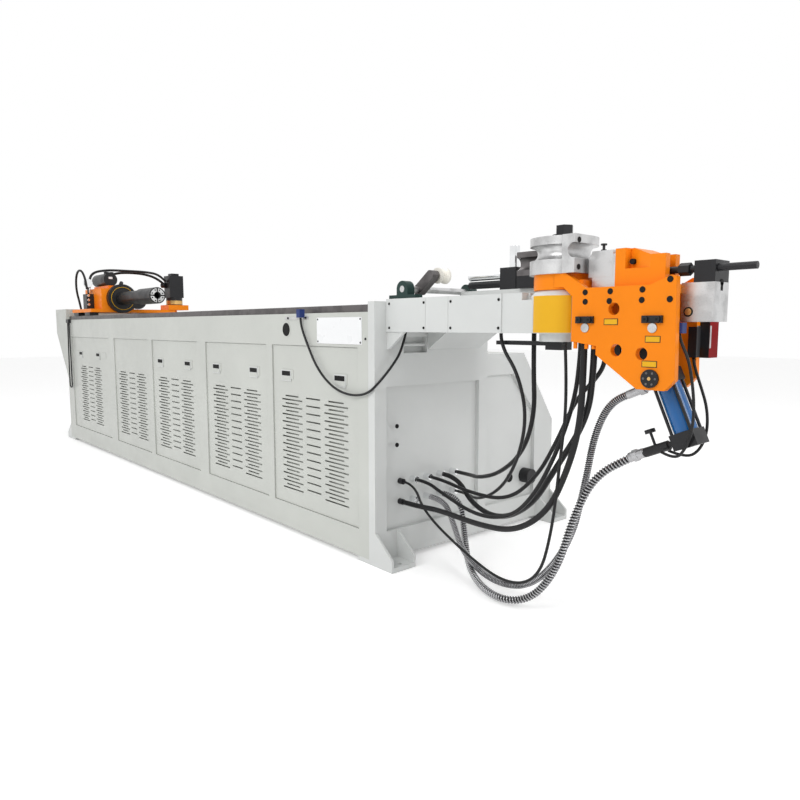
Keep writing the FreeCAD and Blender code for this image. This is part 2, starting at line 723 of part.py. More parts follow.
# Bend die on the spindle, with its straight grip
spindle = ("spindle_reach", "spindle_setback")
die_blank = rod("Z", *spindle, "die_foot", "die_radius", "die_head - die_foot")
groove_ring = document.addObject("Part::Torus", "groove")
bind(groove_ring, Radius1="bend_radius", Radius2="tube_radius")
seat(groove_ring, *spindle, TUBE_LEVEL)
grip_room = block(
    "spindle_reach + bend_radius - grip_depth", "spindle_setback - grip_length", "die_foot",
    "grip_depth + tube_radius", "grip_length", "die_head - die_foot",
)
node("bend_die", cut(die_blank, groove_ring, grip_room))
grip_blank = block(
    "spindle_reach + bend_radius - grip_depth", "spindle_setback - grip_length", "die_foot",
    "grip_depth + die_radius - bend_radius", "grip_length", "die_head - die_foot",
)
grip_groove = rod(
    "Y", "spindle_reach + bend_radius", "spindle_setback - grip_length", TUBE_LEVEL,
    "tube_radius", "grip_length",
)
node("grip_insert", cut(grip_blank, grip_groove))
nut = document.addObject("Part::Prism", "nut")
nut.Polygon = 6
bind(nut, Circumradius="nut_across / 2 / cos(30)", Height="nut_height")
seat(nut, *spindle, "die_head + washer_thickness")
node(
    "die_nut",
    fuse(rod("Z", *spindle, "die_head", "washer_radius", "washer_thickness"), nut),
)

# Swing arm: hub, two side plates, deck, floor and pins
DIE_TOP_GAP = "column_top + fit_gap"
hub = rod("Z", *spindle, DIE_TOP_GAP, "hub_radius", f"die_foot - ({DIE_TOP_GAP})")
hub_web = block(
    "spindle_reach", "spindle_setback - arm_half_width + arm_plate_thickness",
    "arm_deck_top", "hub_web_run", "2 * (arm_half_width - arm_plate_thickness)",
    "hub_web_head - arm_deck_top",
)
node("arm_hub", fuse(hub, hub_web))


def arm_plate(near, cutback):
    """A side plate of the swing arm: neck, windows and a chamfered foot."""
    outline = [
        ("0", "arm_neck_foot"), ("arm_inner_reach - neck_chamfer_run", "arm_neck_foot"),
        ("arm_inner_reach", "neck_chamfer_foot"), ("arm_inner_reach", "arm_floor_level"),
        ("knee_reach", "knee_level"), ("knee_reach", "knee_level - knee_drop"),
        ("toe_reach", "arm_foot"), (f"heel_reach - {cutback}", "arm_foot"),
        (f"back_reach - {cutback}", "arm_foot + heel_rise"),
        (f"shoulder_reach - {cutback}", "shoulder_level"),
        (f"peak_reach - {cutback}", "peak_level"),
        ("saddle_reach", "arm_deck_top"), ("hub_slope_reach", "arm_deck_top"),
        ("hub_slope_head", "die_foot"), ("0", "die_foot"),
    ]
    holes = [
        (reach, level, f"{radius} + pin_gap")
        for reach, level, radius in (
            ("link_pin_1_reach", "link_pin_level", "link_pin_radius"),
            ("link_pin_2_reach", "link_pin_level", "link_pin_radius"),
            ("pivot_reach", "pivot_level", "pivot_radius"),
            ("window_1_reach", "window_1_level", "window_radius"),
            ("window_2_reach", "window_2_level", "window_radius"),
            ("window_3_reach", "window_3_level", "window_radius"),
        )
    ]
    plate = side_profile("spindle_reach", near, "0", outline, "arm_plate_thickness", holes)
    hub_room = rod("Z", *spindle, "column_top", "hub_radius", "die_foot - column_top")
    return cut(plate, hub_room)


NEAR_PLATE = "spindle_setback - arm_half_width"
FAR_PLATE = "spindle_setback + arm_half_width - arm_plate_thickness"
node("arm_plate_near", arm_plate(NEAR_PLATE, "0"))
node("arm_plate_far", arm_plate(FAR_PLATE, "far_plate_cutback"))
INNER_NEAR = f"{NEAR_PLATE} + arm_plate_thickness"
INNER_WIDTH = "2 * (arm_half_width - arm_plate_thickness)"
CROSS_START = "spindle_reach + column_radius + swing_gap"
arm_deck = block(
    CROSS_START, INNER_NEAR, "arm_deck_top - arm_deck_thickness",
    "end_block_reach - column_radius - swing_gap", INNER_WIDTH, "arm_deck_thickness",
)
arm_floor = block(
    CROSS_START, INNER_NEAR, "arm_floor_level", "arm_floor_length", INNER_WIDTH,
    "arm_floor_thickness",
)
node("arm_cross_plates", set_of(arm_deck, arm_floor))
OUTER_FAR = "spindle_setback + arm_half_width"
arm_pins = [
    rod(
        "Y", "spindle_reach + pivot_reach", NEAR_PLATE, "pivot_level", "pivot_radius",
        "2 * arm_half_width",
    )
]
pin_retainers = [
    rod(
        "Y", "spindle_reach + pivot_reach", near, "pivot_level", "pivot_cap_radius",
        "pivot_cap_thickness",
    )
    for near in (f"{NEAR_PLATE} - pivot_cap_thickness", OUTER_FAR)
]
for reach in ("link_pin_1_reach", "link_pin_2_reach"):
    arm_pins.append(
        rod(
            "Y", f"spindle_reach + {reach}", f"{NEAR_PLATE} - link_pin_proud",
            "link_pin_level", "link_pin_radius", "2 * (arm_half_width + link_pin_proud)",
        )
    )
    pin_retainers.append(
        block(
            f"spindle_reach + {reach} - lock_tab_length / 2",
            f"{NEAR_PLATE} - lock_tab_thickness", "link_pin_level + link_pin_radius",
            "lock_tab_length", "lock_tab_thickness", "lock_tab_height",
        )
    )
node("arm_pins", set_of(*arm_pins))
node("pin_retainers", set_of(*pin_retainers))

# Clamp slide with its die, lugs and adjusting screw
SLIDE_X = "spindle_reach + slide_reach"
SLIDE_NEAR = "spindle_setback - slide_half_width"
SLIDE_FOOT = "arm_deck_top + fit_gap"
slide_outline = [
    (SLIDE_X, SLIDE_FOOT), (f"{SLIDE_X} + slide_length", SLIDE_FOOT),
    (f"{SLIDE_X} + slide_length", "slide_low_head"),
    (f"{SLIDE_X} + notch_start + notch_run", "slide_low_head"),
    (f"{SLIDE_X} + notch_start + notch_run / 4", "slide_head"), (SLIDE_X, "slide_head"),
]
slide = side_profile("0", SLIDE_NEAR, "0", slide_outline, "2 * slide_half_width")
notch = [
    (f"{SLIDE_X} + notch_start", "-notch_depth"),
    (f"{SLIDE_X} + notch_start + notch_run / 8", "notch_depth"),
    (f"{SLIDE_X} + notch_start + notch_run", "0"),
    (f"{SLIDE_X} + notch_start + notch_run", "-notch_depth"),
]
pocket(
    slide, sketch_on(slide, "XY_Plane", [notch], offset="notch_foot"),
    "slide_head - notch_foot", back=True,
)
LUG_X = f"{SLIDE_X} + slide_length - slide_lug_length"
fork_gap = block(
    LUG_X, f"{SLIDE_NEAR} + slide_lug_near", SLIDE_FOOT, "slide_lug_length",
    "slide_fork_gap", "slide_head - arm_deck_top",
)
far_relief = block(
    LUG_X, f"{SLIDE_NEAR} + slide_lug_near + slide_fork_gap + slide_lug_far", SLIDE_FOOT,
    "slide_lug_length",
    "2 * slide_half_width - slide_lug_near - slide_fork_gap - slide_lug_far",
    "slide_head - arm_deck_top",
)
node("clamp_slide", cut(slide, fork_gap, far_relief))
CLAMP_X = "spindle_reach + die_radius + clamp_gap"
clamp_blank = block(
    CLAMP_X, "spindle_setback - clamp_die_half_width", "clamp_die_foot", "clamp_die_length",
    "2 * clamp_die_half_width", "clamp_die_head - clamp_die_foot",
)
clamp_groove = rod(
    "Y", "spindle_reach + bend_radius", "spindle_setback - clamp_die_half_width",
    TUBE_LEVEL, "tube_radius", "2 * clamp_die_half_width",
)
node("clamp_die", cut(clamp_blank, clamp_groove))
HOLDER_X = f"{CLAMP_X} + clamp_die_length"
node(
    "clamp_die_holder",
    fuse(
        block(
            HOLDER_X, "spindle_setback - clamp_die_half_width", SLIDE_FOOT,
            f"{SLIDE_X} - ({HOLDER_X})", "2 * clamp_die_half_width",
            f"clamp_die_head - holder_overhang - ({SLIDE_FOOT})",
        ),
        block(
            f"{CLAMP_X} + holder_overhang", "spindle_setback - clamp_die_half_width",
            SLIDE_FOOT, "clamp_die_length - holder_overhang", "2 * clamp_die_half_width",
            f"clamp_die_foot - ({SLIDE_FOOT})",
        ),
    ),
)
SCREW_Y = f"{SLIDE_NEAR} + slide_lug_near + slide_fork_gap / 2"
screw_nut = document.addObject("Part::Prism", "nut")
screw_nut.Polygon = 6
bind(screw_nut, Circumradius="screw_nut_across / 2 / cos(30)", Height="screw_nut_length")
seat(screw_nut, "spindle_reach + screw_nut_reach", SCREW_Y, "screw_level", AXES["X"])
node(
    "clamp_screw",
    fuse(
        rod(
            "X", LUG_X, SCREW_Y, "screw_level", "screw_radius",
            f"spindle_reach + screw_reach - ({LUG_X})",
        ),
        screw_nut,
    ),
)

# End block, post and boxes on the arm
end_foot = block(
    "spindle_reach + end_block_reach", "spindle_setback - end_block_half_width",
    "end_block_foot", "end_block_length", "2 * end_block_half_width",
    "end_block_head - end_block_foot",
)
end_post = block(
    "spindle_reach + end_post_reach", "spindle_setback - end_block_half_width",
    "end_block_head", "end_post_length", "2 * end_block_half_width", "end_post_height",
)
screw_bore = rod(
    "X", "spindle_reach + end_post_reach", SCREW_Y, "screw_level",
    "screw_radius + screw_fit", "end_post_length",
)
node("end_block", cut(fuse(end_foot, end_post), screw_bore))
node(
    "terminal_box",
    block(
        "spindle_reach + terminal_box_start", "spindle_setback + arm_half_width",
        "terminal_box_foot", "terminal_box_length", "terminal_box_depth",
        "terminal_box_height",
    ),
)
slide_sensor = block(
    "spindle_reach + sensor_start", f"{FAR_PLATE} - sensor_width", "sensor_foot",
    "sensor_length", "sensor_width", "sensor_height",
)
limit_switch = block(
    "spindle_reach + switch_start", INNER_NEAR, "switch_foot", "switch_length",
    "switch_width", "switch_height",
)
node("arm_switches", set_of(slide_sensor, limit_switch))

# Clamp cylinder: hangs from the pivot pin, tilted outwards
DOWN = (Vector(0, 1, 0), "180 - cylinder_tilt")
BACK = (Vector(0, -1, 0), "90 + cylinder_tilt")
UP = (Vector(0, -1, 0), "cylinder_tilt")


def cylinder_place(along, aside):
    """Bed x and z at a distance along the cylinder's axis and aside from it."""
    x = (
        f"spindle_reach + pivot_reach + ({along}) * sin(cylinder_tilt)"
        f" - ({aside}) * cos(cylinder_tilt)"
    )
    z = f"pivot_level - ({along}) * cos(cylinder_tilt) - ({aside}) * sin(cylinder_tilt)"
    return x, z


def tilt(item, direction, along, y, aside):
    axis, angle = direction
    x, z = cylinder_place(along, aside)
    seat(item, x, y, z, Rotation(axis, amount(angle)))
    item.setExpression("Placement.Rotation.Angle", bound(angle))
    return item


def tilted_rod(direction, along, y, aside, radius, length):
    item = document.addObject("Part::Cylinder", "rod")
    bind(item, Radius=radius, Height=length)
    return tilt(item, direction, along, y, aside)


def tilted_cap(along, thickness):
    """A square cap across the cylinder's axis."""
    item = document.addObject("Part::Box", "cap")
    bind(item, Length="cylinder_cap", Width="cylinder_cap", Height=thickness)
    return tilt(item, DOWN, along, "spindle_setback - cylinder_cap / 2", "-cylinder_cap / 2")


pivot_room = rod(
    "Y", "spindle_reach + pivot_reach", NEAR_PLATE, "pivot_level",
    "pivot_radius + pin_gap", "2 * arm_half_width",
)
head_block = tilted_cap("-cylinder_head_length / 2", "cylinder_head_length")
cylinder_head = cut(head_block, pivot_room)
TUBE_START = "cylinder_head_length / 2"
TUBE_RUN = f"cylinder_end - ({TUBE_START})"
node(
    "cylinder_tube",
    tilted_rod(DOWN, TUBE_START, "spindle_setback", "0", "cylinder_radius", TUBE_RUN),
)
tie_rods = []
for side in (-1, 1):
    for aside in (-1, 1):
        tie_rods.append(
            tilted_rod(
                DOWN, TUBE_START, f"spindle_setback + {side} * tie_rod_offset",
                f"{aside} * tie_rod_offset", "tie_rod_radius", TUBE_RUN,
            )
        )
end_cap = tilted_cap("cylinder_end", "cylinder_cap_length")
node("cylinder_ends", fuse(cylinder_head, end_cap, *tie_rods))
VALVE_LINE = "cylinder_end + cylinder_cap_length / 2"
VALVE_START = "cylinder_cap / 2 + valve_neck_length"
VALVE_STEM = f"{VALVE_START} + valve_stem_offset"
STEM_FOOT = f"{VALVE_LINE} - valve_radius"
node(
    "flow_valve",
    fuse(
        tilted_rod(
            BACK, VALVE_LINE, "spindle_setback", "cylinder_cap / 2", "valve_neck_radius",
            "valve_neck_length",
        ),
        tilted_rod(
            BACK, VALVE_LINE, "spindle_setback", VALVE_START, "valve_radius", "valve_length"
        ),
        tilted_rod(
            UP, VALVE_LINE, "spindle_setback", VALVE_STEM, "valve_stem_radius",
            "valve_radius + valve_stem_height",
        ),
        tilted_rod(
            UP, f"{STEM_FOOT} - valve_stem_height", "spindle_setback", VALVE_STEM,
            "valve_knob_radius", "valve_knob_height",
        ),
    ),
)

# Carriage: saddle on four shoes, headstock with spindle cover, motors and hydraulics
RAIL_TOP = "cabinet_top + rail_height"
SADDLE_FOOT = f"{RAIL_TOP} + shoe_gap + shoe_height"
SADDLE_TOP = f"{SADDLE_FOOT} + saddle_thickness"
HEAD_FRONT = "-saddle_start + saddle_length"
saddle_plate = block(
    "-saddle_start", "saddle_near", SADDLE_FOOT, "saddle_length", "saddle_width",
    "saddle_thickness",
)
shoes = [
    block(
        x, f"{inset} - shoe_overhang", f"{RAIL_TOP} + shoe_gap", "shoe_length",
        "rail_width + 2 * shoe_overhang", "shoe_height",
    )
    for x in ("-saddle_start + shoe_inset", f"{HEAD_FRONT} - shoe_inset - shoe_length")
    for inset in ("rail_inset", "far_rail_inset")
]
node("saddle", fuse(saddle_plate, *shoes))
HEAD_TOP = f"{TUBE_LEVEL} + headstock_crown"
HEAD_NEAR = f"{TUBE_LINE} - headstock_half_width"
node(
    "headstock",
    fuse(
        block(
            f"{HEAD_FRONT} - headstock_length", HEAD_NEAR, SADDLE_TOP, "headstock_length",
            "headstock_half_width + headstock_far", f"{HEAD_TOP} - ({SADDLE_TOP})",
        ),
        block(
            f"{HEAD_FRONT} - headstock_length", "spin_motor_setback - motor_bed_half_width",
            HEAD_TOP, "headstock_length - cover_length", "2 * motor_bed_half_width",
            "motor_bed_height",
        ),
    ),
)
cover = rod("X", HEAD_FRONT, TUBE_LINE, TUBE_LEVEL, "cover_radius", "cover_length")
cover_bore = rod(
    "X", HEAD_FRONT, TUBE_LINE, TUBE_LEVEL, "quill_radius + quill_fit", "cover_length"
)
node("spindle_cover", cut(cover, cover_bore))
node(
    "spin_motor",
    rod(
        "X", "-spin_motor_end - spin_motor_length", "spin_motor_setback",
        f"{HEAD_TOP} + motor_bed_height + spin_motor_radius", "spin_motor_radius",
        "spin_motor_length",
    ),
)
servo_at = ("-servo_distance", "servo_setback")
servo_base = block(
    "-servo_distance - servo_base_side / 2", "servo_setback - servo_base_side / 2",
    SADDLE_TOP, "servo_base_side", "servo_base_side", "servo_base_height",
)
pinion = rod("Z", *servo_at, "cabinet_top - pinion_height", "pinion_radius", "pinion_height")
pinion_shaft = rod(
    "Z", *servo_at, "cabinet_top", "pinion_radius / 2", f"{SADDLE_TOP} - cabinet_top"
)
node("feed_drive", fuse(servo_base, pinion, pinion_shaft))
GEARBOX_FOOT = f"{SADDLE_TOP} + servo_base_height"
gearbox = rod("Z", *servo_at, GEARBOX_FOOT, "gearbox_radius", "gearbox_height")
servo = block(
    "-servo_distance - servo_side / 2", "servo_setback - servo_side / 2",
    f"{GEARBOX_FOOT} + gearbox_height", "servo_side", "servo_side", "servo_height",
)
node("feed_servo", fuse(gearbox, servo))
VALVES_NEAR = f"{HEAD_NEAR} - valve_block_width"
GAUGE_X = "-valve_block_start + valve_block_length / 2"
GAUGE_Y = f"{VALVES_NEAR} + valve_block_width / 2"
VALVES_TOP = f"{SADDLE_TOP} + valve_block_height"
valve_body = block(
    "-valve_block_start", VALVES_NEAR, SADDLE_TOP, "valve_block_length",
    "valve_block_width", "valve_block_height",
)
gauge_stem = rod("Z", GAUGE_X, GAUGE_Y, VALVES_TOP, "gauge_stem_radius", "gauge_rise")
gauge = rod(
    "X", f"{GAUGE_X} - gauge_thickness / 2", GAUGE_Y, f"{VALVES_TOP} + gauge_rise",
    "gauge_radius", "gauge_thickness",
)
node("valve_block", fuse(valve_body, gauge_stem, gauge))

# Chuck: quill, body and four jaws
node(
    "quill",
    rod(
        "X", f"{HEAD_FRONT} + fit_gap", TUBE_LINE, TUBE_LEVEL, "quill_radius",
        f"-quill_end - ({HEAD_FRONT}) - fit_gap",
    ),
)
chuck_blank = rod(
    "X", "-quill_end", TUBE_LINE, TUBE_LEVEL, "chuck_radius", "quill_end - chuck_end"
)
jaw_room = rod(
    "X", "-chuck_end - jaw_depth", TUBE_LINE, TUBE_LEVEL, "jaw_ring_radius", "jaw_depth"
)
tube_bore = rod(
    "X", "-chuck_end - jaw_depth - chuck_bore_length", TUBE_LINE, TUBE_LEVEL, "chuck_bore",
    "chuck_bore_length + jaw_depth",
)
node("chuck_body", cut(chuck_blank, jaw_room, tube_bore))
jaw_ring = rod(
    "X", "-chuck_end - jaw_depth", TUBE_LINE, TUBE_LEVEL, "jaw_ring_radius", "jaw_depth"
)
jaw_hole = rod(
    "X", "-chuck_end - jaw_depth", TUBE_LINE, TUBE_LEVEL, "jaw_bore", "jaw_depth"
)
upright_slot = block(
    "-chuck_end - jaw_depth", f"{TUBE_LINE} - jaw_slot / 2", f"{TUBE_LEVEL} - jaw_ring_radius",
    "jaw_depth", "jaw_slot", "2 * jaw_ring_radius",
)
level_slot = block(
    "-chuck_end - jaw_depth", f"{TUBE_LINE} - jaw_ring_radius", f"{TUBE_LEVEL} - jaw_slot / 2",
    "jaw_depth", "2 * jaw_ring_radius", "jaw_slot",
)
node("chuck_jaws", cut(jaw_ring, jaw_hole, upright_slot, level_slot))

# Fittings on the front plate and the home sensor on the near rail
RECESS_FACE = "-recess_depth"
fittings = []
for level in ("fitting_high", "fitting_low"):
    for i in range(4):
        fittings.append(
            rod(
                "X", RECESS_FACE, f"fitting_first + {i} * fitting_pitch", level,
                "fitting_radius", "fitting_length",
            )
        )
    fittings.append(
        rod("X", RECESS_FACE, "gland_setback", level, "gland_radius", "gland_length")
    )
fittings.append(
    rod(
        "X", RECESS_FACE, "connector_setback", "connector_level", "connector_radius",
        "connector_length",
    )
)
node("hose_fittings", set_of(*fittings))

# Hoses that hang between the front plate and the head, each with its diameter and the
# points of its route
HOSES = {
    "grey_hose": (18, [
        (14, 290, 240), (96, 290, 240), (160, 272, 176), (285, 206, 78), (468, 176, 24),
        (640, 180, 62), (785, 176, 250), (835, 178, 470), (866, 168, 620), (925, 154, 728),
        (1010, 150, 766), (1068, 150, 792),
    ]),
    "coil_hose": (18, [
        (14, 368, 240), (116, 368, 240), (178, 322, 130), (330, 190, 24), (540, 90, 14),
        (668, 126, 36), (765, 138, 170), (822, 136, 360), (888, 142, 500), (1005, 150, 575),
        (1046, 150, 594),
    ]),
    "arm_hose": (20, [
        (14, 368, 325), (96, 368, 325), (224, 318, 244), (431, 247, 240), (624, 183, 344),
        (746, 143, 501), (866, 128, 672), (884, 126, 820), (884, 126, 909),
    ]),
    "tall_hose": (20, [
        (4, 146, 240), (84, 146, 240), (226, 136, 254), (433, 124, 246), (609, 114, 264),
        (747, 106, 364), (821, 99, 513), (862, 97, 657), (868, 97, 820), (868, 97, 909),
    ]),
    "beam_hose": (16, [
        (14, 446, 325), (84, 446, 325), (222, 364, 346), (407, 272, 410), (575, 190, 520),
        (636, 172, 660), (612, 190, 820), (612, 190, 932),
    ]),
}
# Each bend starts and ends this share of its shorter run away from its corner
BEND_SHARE = 0.45
HOSE_VOLUME_SLACK = 0.01


def hose_route(name, points):
    """Straight runs joined by tangent arcs, as one wire."""
    corners = [FreeCAD.Vector(*point) for point in points]
    edges = []
    radii = []
    start = corners[0]
    for before, corner, after in zip(corners, corners[1:], corners[2:]):
        back = before - corner
        ahead = after - corner
        turn = math.pi - back.getAngle(ahead)
        trim = BEND_SHARE * min(back.Length, ahead.Length)
        radius = trim / math.tan(turn / 2)
        back.normalize()
        ahead.normalize()
        inward = back + ahead
        inward.normalize()
        arc_middle = corner + inward * (radius / math.cos(turn / 2) - radius)
        arc_start = corner + back * trim
        arc_end = corner + ahead * trim
        edges.append(Part.LineSegment(start, arc_start).toShape())
        edges.append(Part.Arc(arc_start, arc_middle, arc_end).toShape())
        radii.append(round(radius))
        start = arc_end
    edges.append(Part.LineSegment(start, corners[-1]).toShape())
    print(name, "bend radii", radii)
    return Part.Wire(edges)


for name, (diameter, points) in HOSES.items():
    route = hose_route(name, points)
    ring = Part.Circle(route.Vertexes[0].Point, route.Edges[0].tangentAt(0), diameter / 2)
    tube = document.addObject("Part::Feature", "tube")
    tube.Shape = route.makePipeShell([Part.Wire(ring.toShape())], True, True)
    section = math.pi * diameter ** 2 / 4
    if abs(tube.Shape.Volume / (section * route.Length) - 1) > HOSE_VOLUME_SLACK:
        raise ValueError(name + " isn't swept along its whole route")
    seat(tube, "0", "0", "0")
    node(name, tube)
node(
    "home_sensor",
    block(
        "-sensor_reach - sensor_block / 2", "-sensor_block", "cabinet_top - sensor_stand / 2",
        "sensor_block", "sensor_block", "sensor_stand",
    ),
)

document.recompute()

for item in document.Objects:
    if "Invalid" in item.State or "Error" in item.State:
        raise RuntimeError(f"{item.Label} did not build: {item.State}")
for name, item in NODES.items():
    if item.Shape.isNull() or not item.Shape.isValid() or not item.Shape.Solids:
        raise RuntimeError(f"{name} has no valid solid")
for name, item in NODES.items():
    item.Shape.exportStep(f"parts/{name}.step")
print(len(NODES), "sub-parts")
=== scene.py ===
"""Look of a CNC tube bending machine: paint, steel, hoses, labels, studio light and camera."""
import json
import math
import bpy
import bmesh
from mathutils import Matrix, Vector


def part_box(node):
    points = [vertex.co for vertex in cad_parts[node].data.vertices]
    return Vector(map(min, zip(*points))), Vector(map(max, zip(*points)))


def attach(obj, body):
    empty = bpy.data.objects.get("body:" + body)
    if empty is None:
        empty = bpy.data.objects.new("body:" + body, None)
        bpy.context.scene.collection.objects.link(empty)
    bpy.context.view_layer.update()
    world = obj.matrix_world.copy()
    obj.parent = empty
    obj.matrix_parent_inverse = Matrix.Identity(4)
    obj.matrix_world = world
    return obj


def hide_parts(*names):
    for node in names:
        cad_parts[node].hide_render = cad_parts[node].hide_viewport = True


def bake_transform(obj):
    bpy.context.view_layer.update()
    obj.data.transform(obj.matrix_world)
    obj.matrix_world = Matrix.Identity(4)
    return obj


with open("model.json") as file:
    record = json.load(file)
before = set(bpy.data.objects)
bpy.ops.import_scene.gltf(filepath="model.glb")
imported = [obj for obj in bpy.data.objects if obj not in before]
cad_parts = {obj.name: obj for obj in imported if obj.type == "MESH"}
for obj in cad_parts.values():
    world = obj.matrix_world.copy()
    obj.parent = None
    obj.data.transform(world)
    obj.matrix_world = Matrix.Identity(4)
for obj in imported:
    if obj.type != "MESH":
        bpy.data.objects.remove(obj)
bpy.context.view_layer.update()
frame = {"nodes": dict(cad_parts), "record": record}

NODES = frame["nodes"]

# Bed places: x from the front plate towards the head, y from the door side, z from the floor
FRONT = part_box("front_plate")[1][0]
DOOR_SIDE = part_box("front_plate")[0][1]


def at(x, y, z):
    """A bed place in the row frame."""
    return (x + FRONT, y + DOOR_SIDE, z)


# Camera, worked out from the corners of the bed in the photograph
CAMERA_PLACE = at(2.0088, -1.6293, 0.9519)
CAMERA_PITCH = 83.7725
CAMERA_TURN = 48.783
CAMERA_LENS = 30.16

camera_data = bpy.data.cameras.new("camera")
camera_data.sensor_width = 36
camera_data.lens = CAMERA_LENS
camera_data.dof.use_dof = False
camera_data.clip_start = 0.05
camera_data.clip_end = 60
camera = bpy.data.objects.new("camera", camera_data)
bpy.context.collection.objects.link(camera)
camera.location = CAMERA_PLACE
camera.rotation_euler = (math.radians(CAMERA_PITCH), 0, math.radians(CAMERA_TURN))
scene = bpy.context.scene
scene.camera = camera
scene.view_settings.view_transform = "Standard"


# Materials
EDGE_RADIUS = 0.0015
PAINT_DRIFT = 3.0
PAINT_GLOSS = 14.0
PAINT_GRAIN = 420.0
METAL_STAINS = 18.0
METAL_GRAIN = 260.0
PLASTIC_DRIFT = 30.0
PLASTIC_GRAIN = 700.0


class Shader:
    """A material and short ways to add and join its nodes."""

    def __init__(self, name):
        self.material = bpy.data.materials.new(name)
        self.material.use_nodes = True
        self.tree = self.material.node_tree
        self.out = self.tree.nodes["Principled BSDF"]

    def add(self, kind, **values):
        item = self.tree.nodes.new(kind)
        for key, value in values.items():
            if hasattr(item, key):
                setattr(item, key, value)
            else:
                item.inputs[key.replace("_", " ")].default_value = value
        return item

    def link(self, source, output, target, field):
        self.tree.links.new(source.outputs[output], target.inputs[field])

    def noise(self, scale, detail=3.0, stretch=(1, 1, 1)):
        place = self.add("ShaderNodeTexCoord")
        mapping = self.add("ShaderNodeMapping")
        mapping.inputs["Scale"].default_value = stretch
        texture = self.add("ShaderNodeTexNoise")
        texture.inputs["Scale"].default_value = scale
        texture.inputs["Detail"].default_value = detail
        self.link(place, "Object", mapping, "Vector")
        self.link(mapping, "Vector", texture, "Vector")
        return texture

    def ramp(self, source, output, low, high, start=0.35, stop=0.65):
        item = self.add("ShaderNodeValToRGB")
        item.color_ramp.elements[0].position = start
        item.color_ramp.elements[0].color = low
        item.color_ramp.elements[1].position = stop
        item.color_ramp.elements[1].color = high
        self.link(source, output, item, "Fac")
        return item

    def bump(self, source, output, strength, distance=0.001):
        item = self.add("ShaderNodeBump")
        item.inputs["Strength"].default_value = strength
        item.inputs["Distance"].default_value = distance
        edge = self.add("ShaderNodeBevel")
        edge.samples = 4
        edge.inputs["Radius"].default_value = EDGE_RADIUS
        self.link(edge, "Normal", item, "Normal")
        self.link(source, output, item, "Height")
        self.link(item, "Normal", self.out, "Normal")


def tone(color, factor):
    return tuple(min(1.0, c * factor) for c in color[:3]) + (1.0,)


def paint(name, color, roughness=0.35, dirt=0.06, peel=0.08, shine=0.5):
    """Sprayed paint: slow colour drift, faint orange peel, a soft coat."""
    shader = Shader(name)
    drift = shader.noise(PAINT_DRIFT, 5.0)
    colors = shader.ramp(drift, "Fac", tone(color, 1 - dirt), tone(color, 1 + dirt / 3))
    shader.link(colors, "Color", shader.out, "Base Color")
    gloss = shader.noise(PAINT_GLOSS, 4.0)
    rough = shader.ramp(
        gloss, "Fac", (roughness - 0.05,) * 3 + (1,), (roughness + 0.08,) * 3 + (1,)
    )
    shader.link(rough, "Color", shader.out, "Roughness")
    shader.out.inputs["Specular IOR Level"].default_value = shine
    shader.out.inputs["Coat Weight"].default_value = shine / 2
    shader.out.inputs["Coat Roughness"].default_value = 0.15
    grain = shader.noise(PAINT_GRAIN, 2.0)
    shader.bump(grain, "Fac", peel, 0.0006)
    return shader.material


def metal(name, color, roughness=0.3, stretch=(1, 1, 1), stain=0.25):
    """Machined metal: brushed streaks with a few darker stains."""
    shader = Shader(name)
    shader.out.inputs["Metallic"].default_value = 1.0
    stains = shader.noise(METAL_STAINS, 6.0)
    colors = shader.ramp(stains, "Fac", tone(color, 1 - stain), tone(color, 1.0), 0.38, 0.55)
    shader.link(colors, "Color", shader.out, "Base Color")
    streaks = shader.noise(METAL_GRAIN, 3.0, stretch)
    rough = shader.ramp(
        streaks, "Fac", (roughness * 0.75,) * 3 + (1,), (roughness * 1.35,) * 3 + (1,)
    )
    shader.link(rough, "Color", shader.out, "Roughness")
    shader.bump(streaks, "Fac", 0.12, 0.0004)
    return shader.material


def plastic(name, color, roughness=0.45):
    """Moulded plastic or rubber with a fine grain."""
    shader = Shader(name)
    drift = shader.noise(PLASTIC_DRIFT, 3.0)
    colors = shader.ramp(drift, "Fac", tone(color, 0.85), tone(color, 1.05))
    shader.link(colors, "Color", shader.out, "Base Color")
    shader.out.inputs["Roughness"].default_value = roughness
    shader.out.inputs["Specular IOR Level"].default_value = 0.25
    grain = shader.noise(PLASTIC_GRAIN, 2.0)
    shader.bump(grain, "Fac", 0.1, 0.0004)
    return shader.material


MATERIALS = {
    "cabinet_paint": paint("cabinet_paint", (0.55, 0.565, 0.53), 0.42, 0.05),
    "plate_paint": paint("plate_paint", (0.64, 0.655, 0.645), 0.35, 0.05),
    "orange_paint": paint("orange_paint", (0.94, 0.25, 0.006), 0.36, 0.08, 0.08, 0.14),
    "black_metal": paint("black_metal", (0.014, 0.014, 0.016), 0.42, 0.25, 0.08, 0.25),
    "machined_steel": metal("machined_steel", (0.62, 0.62, 0.62), 0.34, (1, 1, 8)),
    "dark_steel": metal("dark_steel", (0.16, 0.15, 0.15), 0.42, (1, 1, 6)),
    "bright_chrome": metal("bright_chrome", (0.86, 0.87, 0.88), 0.12, stain=0.08),
    "box_red": paint("box_red", (0.24, 0.004, 0.005), 0.60, 0.30, 0.08, 0.08),
    "cylinder_blue": paint("cylinder_blue", (0.006, 0.11, 0.34), 0.20, 0.10, 0.03, 0.4),
    "bearing_green": paint("bearing_green", (0.010, 0.032, 0.028), 0.45, 0.35, 0.3, 0.25),
    "nylon": plastic("nylon", (0.86, 0.83, 0.76), 0.40),
    "sensor_blue": plastic("sensor_blue", (0.02, 0.04, 0.17), 0.40),
    "hose_rubber": plastic("hose_rubber", (0.012, 0.012, 0.013), 0.38),
    "hose_grey": plastic("hose_grey", (0.03, 0.03, 0.033), 0.35),
}
